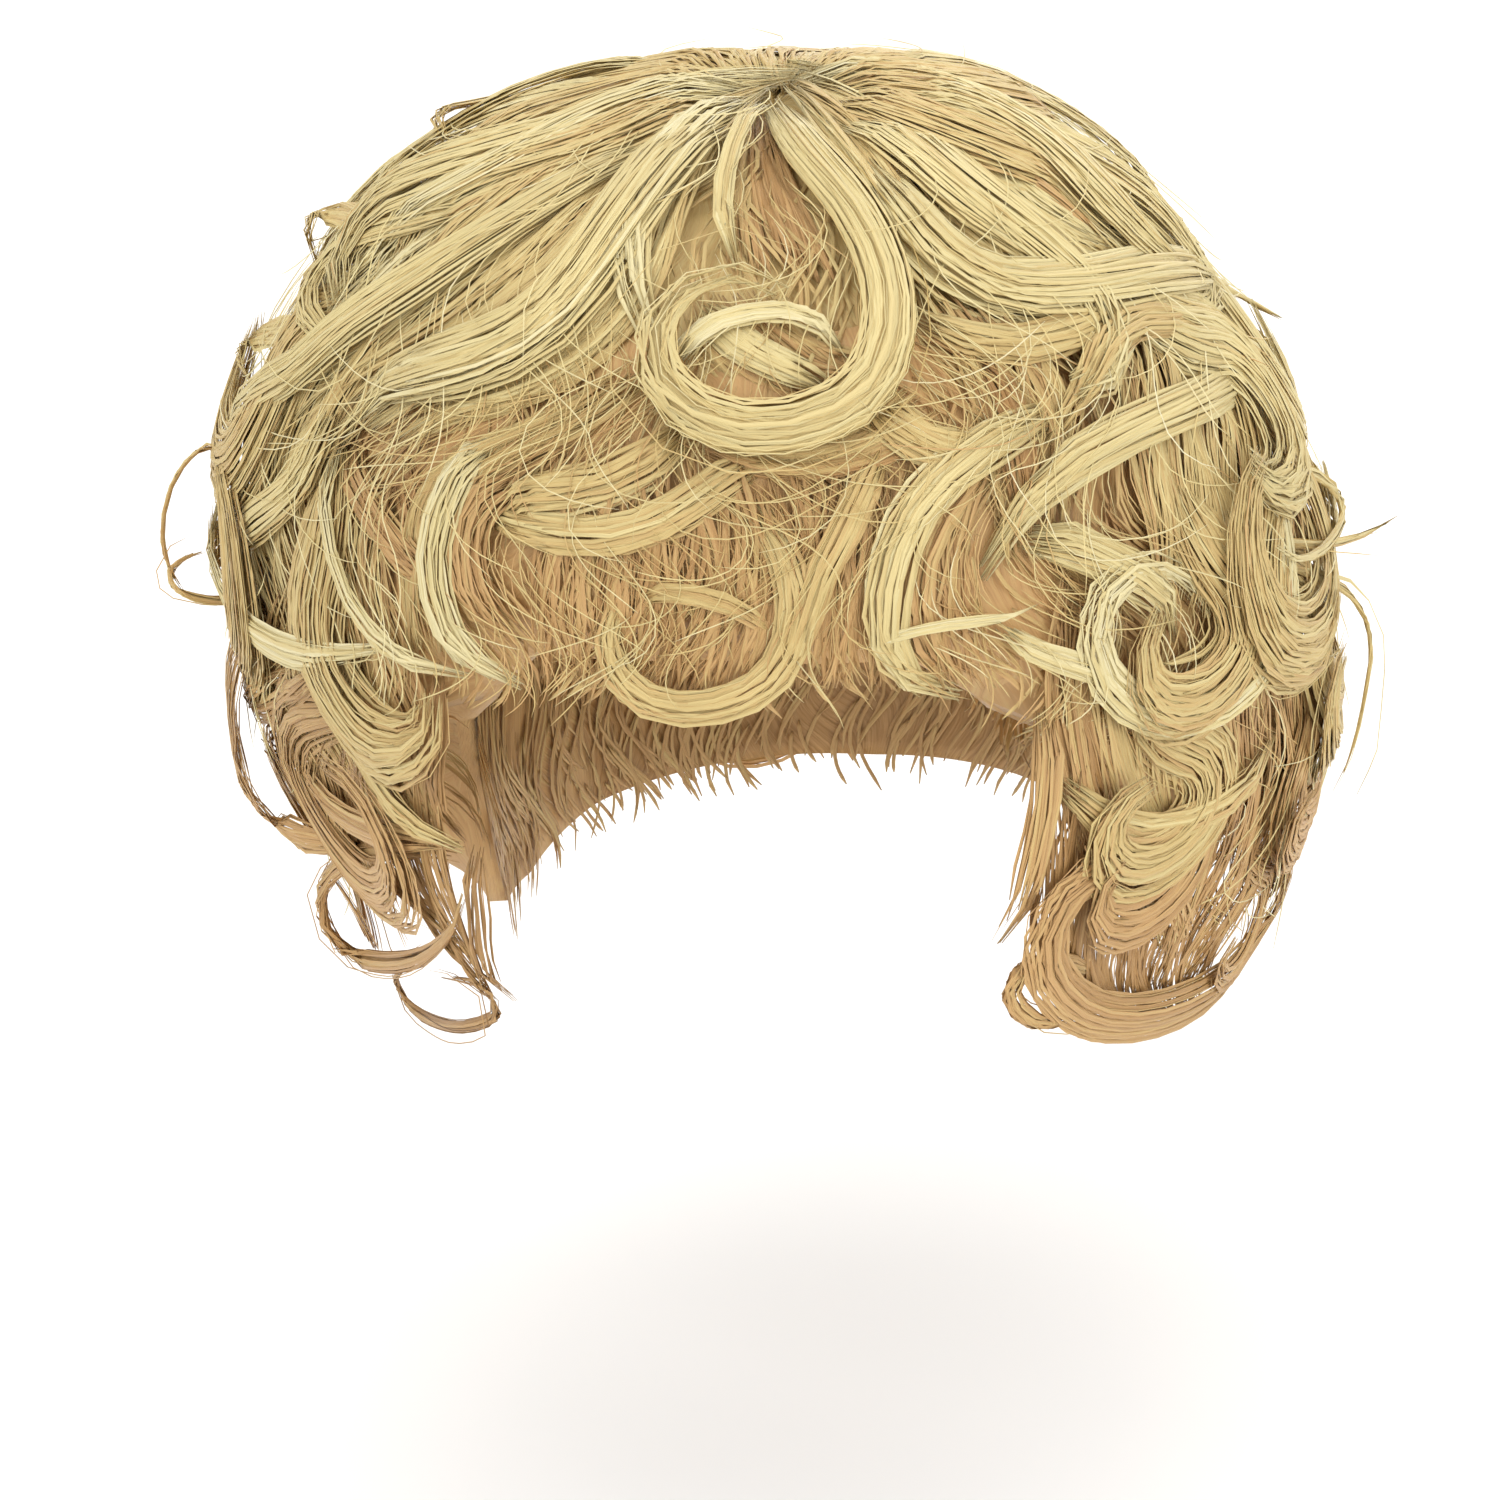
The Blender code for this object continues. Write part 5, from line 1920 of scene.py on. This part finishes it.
@dataclass
class LeftSideCurls(HairPiece):
    """Mass of curls at +X."""

    node: str = "left_side_curls"
    cell: Cell | None = Cell(41, 120, 49, 156, 14)
    coats: tuple[Coat, ...] = combed_coats(420, 260, 110, 45, (0.44, 0.58), 300)
    body_shade: Shade = Shade.HONEY
    rows: tuple[CurlRow, ...] = (
        CurlRow(74, 114, 3, 52, 64, 6, 0.006, 0.022, 260, 0.019, Shade.BLOND),
        CurlRow(68, 116, 4, 70, 82, -5, 0.006, 0.02, 280, 0.018, Shade.GOLD),
        CurlRow(60, 114, 4, 88, 100, 5, 0.006, 0.02, 280, 0.017, Shade.GOLD),
        CurlRow(68, 116, 4, 106, 118, -5, 0.005, 0.016, 280, 0.014, Shade.HONEY),
        CurlRow(74, 114, 4, 120, 130, 4, 0.004, 0.012, 280, 0.011, Shade.HONEY),
    )
    fans: tuple[Fan, ...] = (
        # Beside the ring curl
        Fan(
            (
                ((905, 275), (940, 325), (965, 380), (985, 440), (1000, 510), (1003, 570)),
                ((950, 290), (990, 335), (1018, 385), (1035, 445), (1042, 520)),
                ((1010, 315), (1045, 350), (1065, 400), (1072, 460), (1062, 530)),
            ),
            (Shade.GOLD, Shade.HONEY, Shade.GOLD),
            80,
            80,
            -0.002,
        ),
        # Over the upper half of the side
        Fan(
            (
                ((1090, 305), (1115, 350), (1125, 400), (1135, 470), (1150, 540), (1150, 610)),
                ((1150, 295), (1180, 345), (1195, 405), (1210, 475), (1222, 545), (1215, 620)),
                ((1205, 290), (1238, 345), (1258, 405), (1272, 475), (1280, 545), (1278, 620)),
            ),
            (Shade.GOLD, Shade.GOLD, Shade.BLOND),
            130,
            110,
        ),
        # Over the lower half
        Fan(
            (
                ((1055, 560), (1045, 640), (1050, 720), (1065, 800), (1090, 870), (1130, 930)),
                ((1130, 600), (1120, 680), (1135, 760), (1160, 830), (1170, 900), (1170, 960)),
                ((1230, 620), (1240, 700), (1240, 780), (1220, 860), (1185, 930), (1150, 990)),
                ((1290, 630), (1305, 710), (1300, 790), (1270, 870), (1225, 940), (1180, 995)),
            ),
            (Shade.HONEY, Shade.GOLD, Shade.HONEY, Shade.HONEY),
            150,
            110,
        ),
        # Down to the lower end, in brown tones: painted shade over the honey colour of the lower hair
        Fan(
            (
                ((1048, 740), (1045, 800), (1040, 870), (1035, 930), (1045, 985), (1085, 1012)),
                ((1120, 790), (1112, 860), (1098, 920), (1095, 975), (1118, 1012), (1150, 1018)),
                ((1210, 800), (1195, 870), (1165, 930), (1155, 980), (1165, 1010), (1185, 1016)),
                ((1285, 790), (1268, 860), (1230, 930), (1205, 975), (1195, 1000), (1200, 1010)),
            ),
            (Shade.BROWN, Shade.BROWN, Shade.BROWN, Shade.HONEY),
            170,
            100,
        ),
    )
    strokes: tuple[Stroke, ...] = (
        # Wave beside the ring curl, and the band under it
        # Dark brown lock laid low beside the ring curl: painted shade in the gap there
        Stroke(((972, 345), (1002, 400), (1022, 470), (1030, 540)), 0.010, Shade.BROWN, (-0.002, -0.001)),
        Stroke(
            ((905, 302), (950, 330), (1000, 345), (1060, 335), (1112, 312), (1160, 296)),
            0.009, Shade.GOLD, (-0.001, 0.001),
        ),
        Stroke(
            (
                (862, 142), (902, 200), (942, 250), (1002, 284), (1080, 284), (1150, 272), (1198, 272),
                (1214, 300),
                (1190, 336),
            ),
            0.014, Shade.BLOND, (0.0, 0.002),
        ),
        Stroke(
            ((1212, 300), (1180, 318), (1135, 320), (1104, 345), (1088, 390), (1062, 440)),
            0.009, Shade.GOLD,
        ),
        Stroke(
            ((1248, 370), (1200, 400), (1132, 430), (1066, 468), (1018, 520), (990, 580)),
            0.010, Shade.BLOND,
        ),
        Stroke(((1200, 335), (1238, 395), (1255, 455), (1260, 525)), 0.010, Shade.GOLD, (-0.001, 0.001)),
        # Large curl in the middle of the side
        Stroke(
            ((1018, 540), (1062, 544), (1110, 562), (1158, 592), (1190, 640)),
            0.010, Shade.BLOND, (0.0, 0.002),
        ),
        Stroke(
            (
                (1240, 400), (1264, 455), (1276, 520), (1282, 585), (1268, 650), (1228, 700), (1170, 718),
                (1115, 692), (1092, 642), (1104, 594), (1150, 566), (1200, 578), (1226, 614),
            ),
            0.010, Shade.PALE, (0.0, 0.004),
        ),
        Stroke(((1000, 622), (1032, 650), (1080, 666), (1130, 690)), 0.005, Shade.PALE, (0.001, 0.003)),
        Stroke(
            ((860, 652), (905, 634), (955, 624), (1005, 618), (1055, 606)),
            0.002, Shade.PALE, (0.004, 0.004),
        ),
        # Dark brown lock laid low between the others: painted shade in the gap
        Stroke(((1060, 690), (1075, 740), (1085, 790), (1110, 830)), 0.010, Shade.BROWN, (-0.003, -0.002)),
        # Golden band and the rolled curl under it
        Stroke(
            ((1062, 780), (1100, 818), (1150, 832), (1205, 815), (1258, 774), (1292, 735)),
            0.009, Shade.GOLD, (0.001, 0.003),
        ),
        Stroke(
            (
                (1300, 785), (1292, 860), (1258, 925), (1212, 985), (1150, 1014), (1088, 1012), (1048, 976),
                (1046, 926), (1078, 882), (1132, 864), (1186, 884), (1206, 922),
            ),
            0.012, Shade.HONEY, (0.0, 0.003),
        ),
        Stroke(((1120, 840), (1160, 880), (1180, 930), (1160, 980)), 0.010, Shade.HONEY, (-0.003, -0.001)),
        Stroke(
            ((1048, 700), (1046, 760), (1042, 815), (1028, 880), (1008, 955)),
            0.008, Shade.HONEY, (-0.001, 0.0),
        ),
        Stroke(
            ((1100, 975), (1060, 962), (1022, 972), (1012, 1000), (1040, 1023), (1078, 1018)),
            0.005, Shade.HONEY, (0.0, 0.002), lay=Lay.LOOSE, tip_sink=0.0,
        ),
        # Thin ends that stand out at the side
        Stroke(
            ((1190, 262), (1230, 290), (1284, 320)),
            0.003, Shade.BLOND, (0.0, 0.004), lay=Lay.LOOSE, tip_sink=0.0,
        ),
        Stroke(
            ((1200, 300), (1238, 335), (1269, 354)),
            0.003, Shade.BLOND, (0.0, 0.004), lay=Lay.LOOSE, tip_sink=0.0,
        ),
        Stroke(
            ((1205, 340), (1238, 364), (1262, 375)),
            0.003, Shade.GOLD, (0.0, 0.004), lay=Lay.LOOSE, tip_sink=0.0,
        ),
        Stroke(
            ((1262, 472), (1300, 469), (1334, 486), (1344, 516), (1324, 549), (1296, 559), (1276, 546)),
            0.0028, Shade.BLOND, (0.0, 0.006), lay=Lay.LOOSE, tip_sink=0.0,
        ),
        Stroke(
            ((1272, 540), (1320, 545), (1364, 535), (1398, 516)),
            0.002, Shade.BLOND, (0.0, 0.006), lay=Lay.LOOSE, tip_sink=0.0,
        ),
        Stroke(
            ((1282, 562), (1348, 592), (1371, 640), (1364, 700), (1350, 758), (1330, 798)),
            0.002, Shade.BLOND, (0.0, 0.006), lay=Lay.LOOSE, tip_sink=0.0,
        ),
    )


@dataclass
class BackCurls(HairPiece):
    """Curls on the back, from the crown to the widest level."""

    node: str = "back_curls"
    cell: Cell | None = Cell(119, 241, 49, 104)
    coats: tuple[Coat, ...] = combed_coats(420, 200, 70, 40, (0.52, 0.66))
    body_shade: Shade = Shade.GOLD
    rows: tuple[CurlRow, ...] = (
        CurlRow(126, 234, 5, 50, 64, 6, 0.006, 0.023, 240, 0.021, Shade.BLOND),
        CurlRow(122, 238, 6, 66, 80, -6, 0.006, 0.022, 250, 0.02, Shade.BLOND),
        CurlRow(126, 234, 6, 82, 96, 6, 0.006, 0.02, 260, 0.018, Shade.GOLD),
    )


@dataclass
class NapeCurls(HairPiece):
    """Curls that hang below the cap at the back."""

    node: str = "nape_curls"
    slot: str = "hair_honey"
    cell: Cell | None = Cell(119, 241, 102, 156)
    coats: tuple[Coat, ...] = combed_coats(300, 150, 60, 40, (0.36, 0.5), 260)
    body_shade: Shade = Shade.BROWN
    rows: tuple[CurlRow, ...] = (
        CurlRow(124, 236, 6, 98, 110, -6, 0.005, 0.018, 260, 0.017, Shade.GOLD),
        CurlRow(122, 238, 6, 112, 122, 6, 0.005, 0.016, 270, 0.014, Shade.HONEY),
        CurlRow(124, 236, 8, 123, 131, -5, 0.004, 0.011, 280, 0.011, Shade.HONEY),
    )


@dataclass(frozen=True)
class Studio:
    """Plain pale floor and soft light."""

    floor_height: float = -0.32
    floor_size: float = 12.0
    floor_colour: str = "#F6F5F3"
    world_colour: str = "#FFFFFF"
    world_strength: float = 0.97
    centre: tuple[float, float, float] = (0.0, 0.0, -0.1)

    def build(self) -> None:
        """Adds the floor, the lights and the sky."""
        bpy.ops.object.select_all(action="DESELECT")
        bpy.ops.mesh.primitive_plane_add(size=self.floor_size, location=(0, 0, self.floor_height))
        floor = bpy.context.object
        floor.name = "floor"
        paper = NodeTree("matt_studio_paper")
        paper.feed(paper.shader, {"Base Color": srgb(self.floor_colour), "Roughness": 0.9})
        floor.data.materials.append(paper.material)
        self.add_light(Light.KEY, (-0.9, -1.6, 1.3), 1.2, 10.0)
        self.add_light(Light.FILL, (1.5, -1.3, 0.6), 1.2, 10.0)
        self.add_light(Light.TOP, (0.0, 0.1, 1.7), 1.4, 9.0)
        self.add_light(Light.BACK, (0.3, 1.7, 0.8), 1.2, 10.0)
        world = bpy.data.worlds.new("studio")
        world.use_nodes = True
        sky = world.node_tree.nodes["Background"]
        sky.inputs["Color"].default_value = srgb(self.world_colour)
        sky.inputs["Strength"].default_value = self.world_strength
        bpy.context.scene.world = world
        bpy.context.scene.view_settings.view_transform = "Standard"

    def add_light(self, part: Light, place: tuple[float, float, float], size: float, power: float) -> None:
        """Adds a soft light that faces the wig.

        Args:
            part: Part that it plays.
            place: Its place.
            size: Edge length of the light.
            power: Power in watts.
        """
        bpy.ops.object.light_add(type="AREA", location=place)
        light = bpy.context.object
        light.name = f"{part.value}_light"
        light.data.size = size
        light.data.energy = power
        aim = Vector(self.centre) - Vector(place)
        light.rotation_euler = aim.to_track_quat("-Z", "Y").to_euler()


def main() -> None:
    """Builds and dresses the wig and its studio."""
    logging.basicConfig(level=logging.INFO, format="%(name)s: %(message)s")
    form = HairForm()
    view = StudioView()
    finishes = Finishes(
        SilkyFibre().material(),
        CombedHair("combed_lock", 60.0, 3.0).material(),
        CombedHair("combed_underlayer", 600.0, 9.0).material(),
    )
    cap = Cap()
    cap.dress(cap.build())
    for piece in (
        CrownHair(),
        ForeheadCurl(),
        FringeCurls(),
        RightSideCurls(),
        LeftSideCurls(),
        BackCurls(),
        NapeCurls(),
    ):
        piece.build(form, view, finishes)
    Studio().build()
    view.add_camera()


if __name__ == "__main__":
    main()
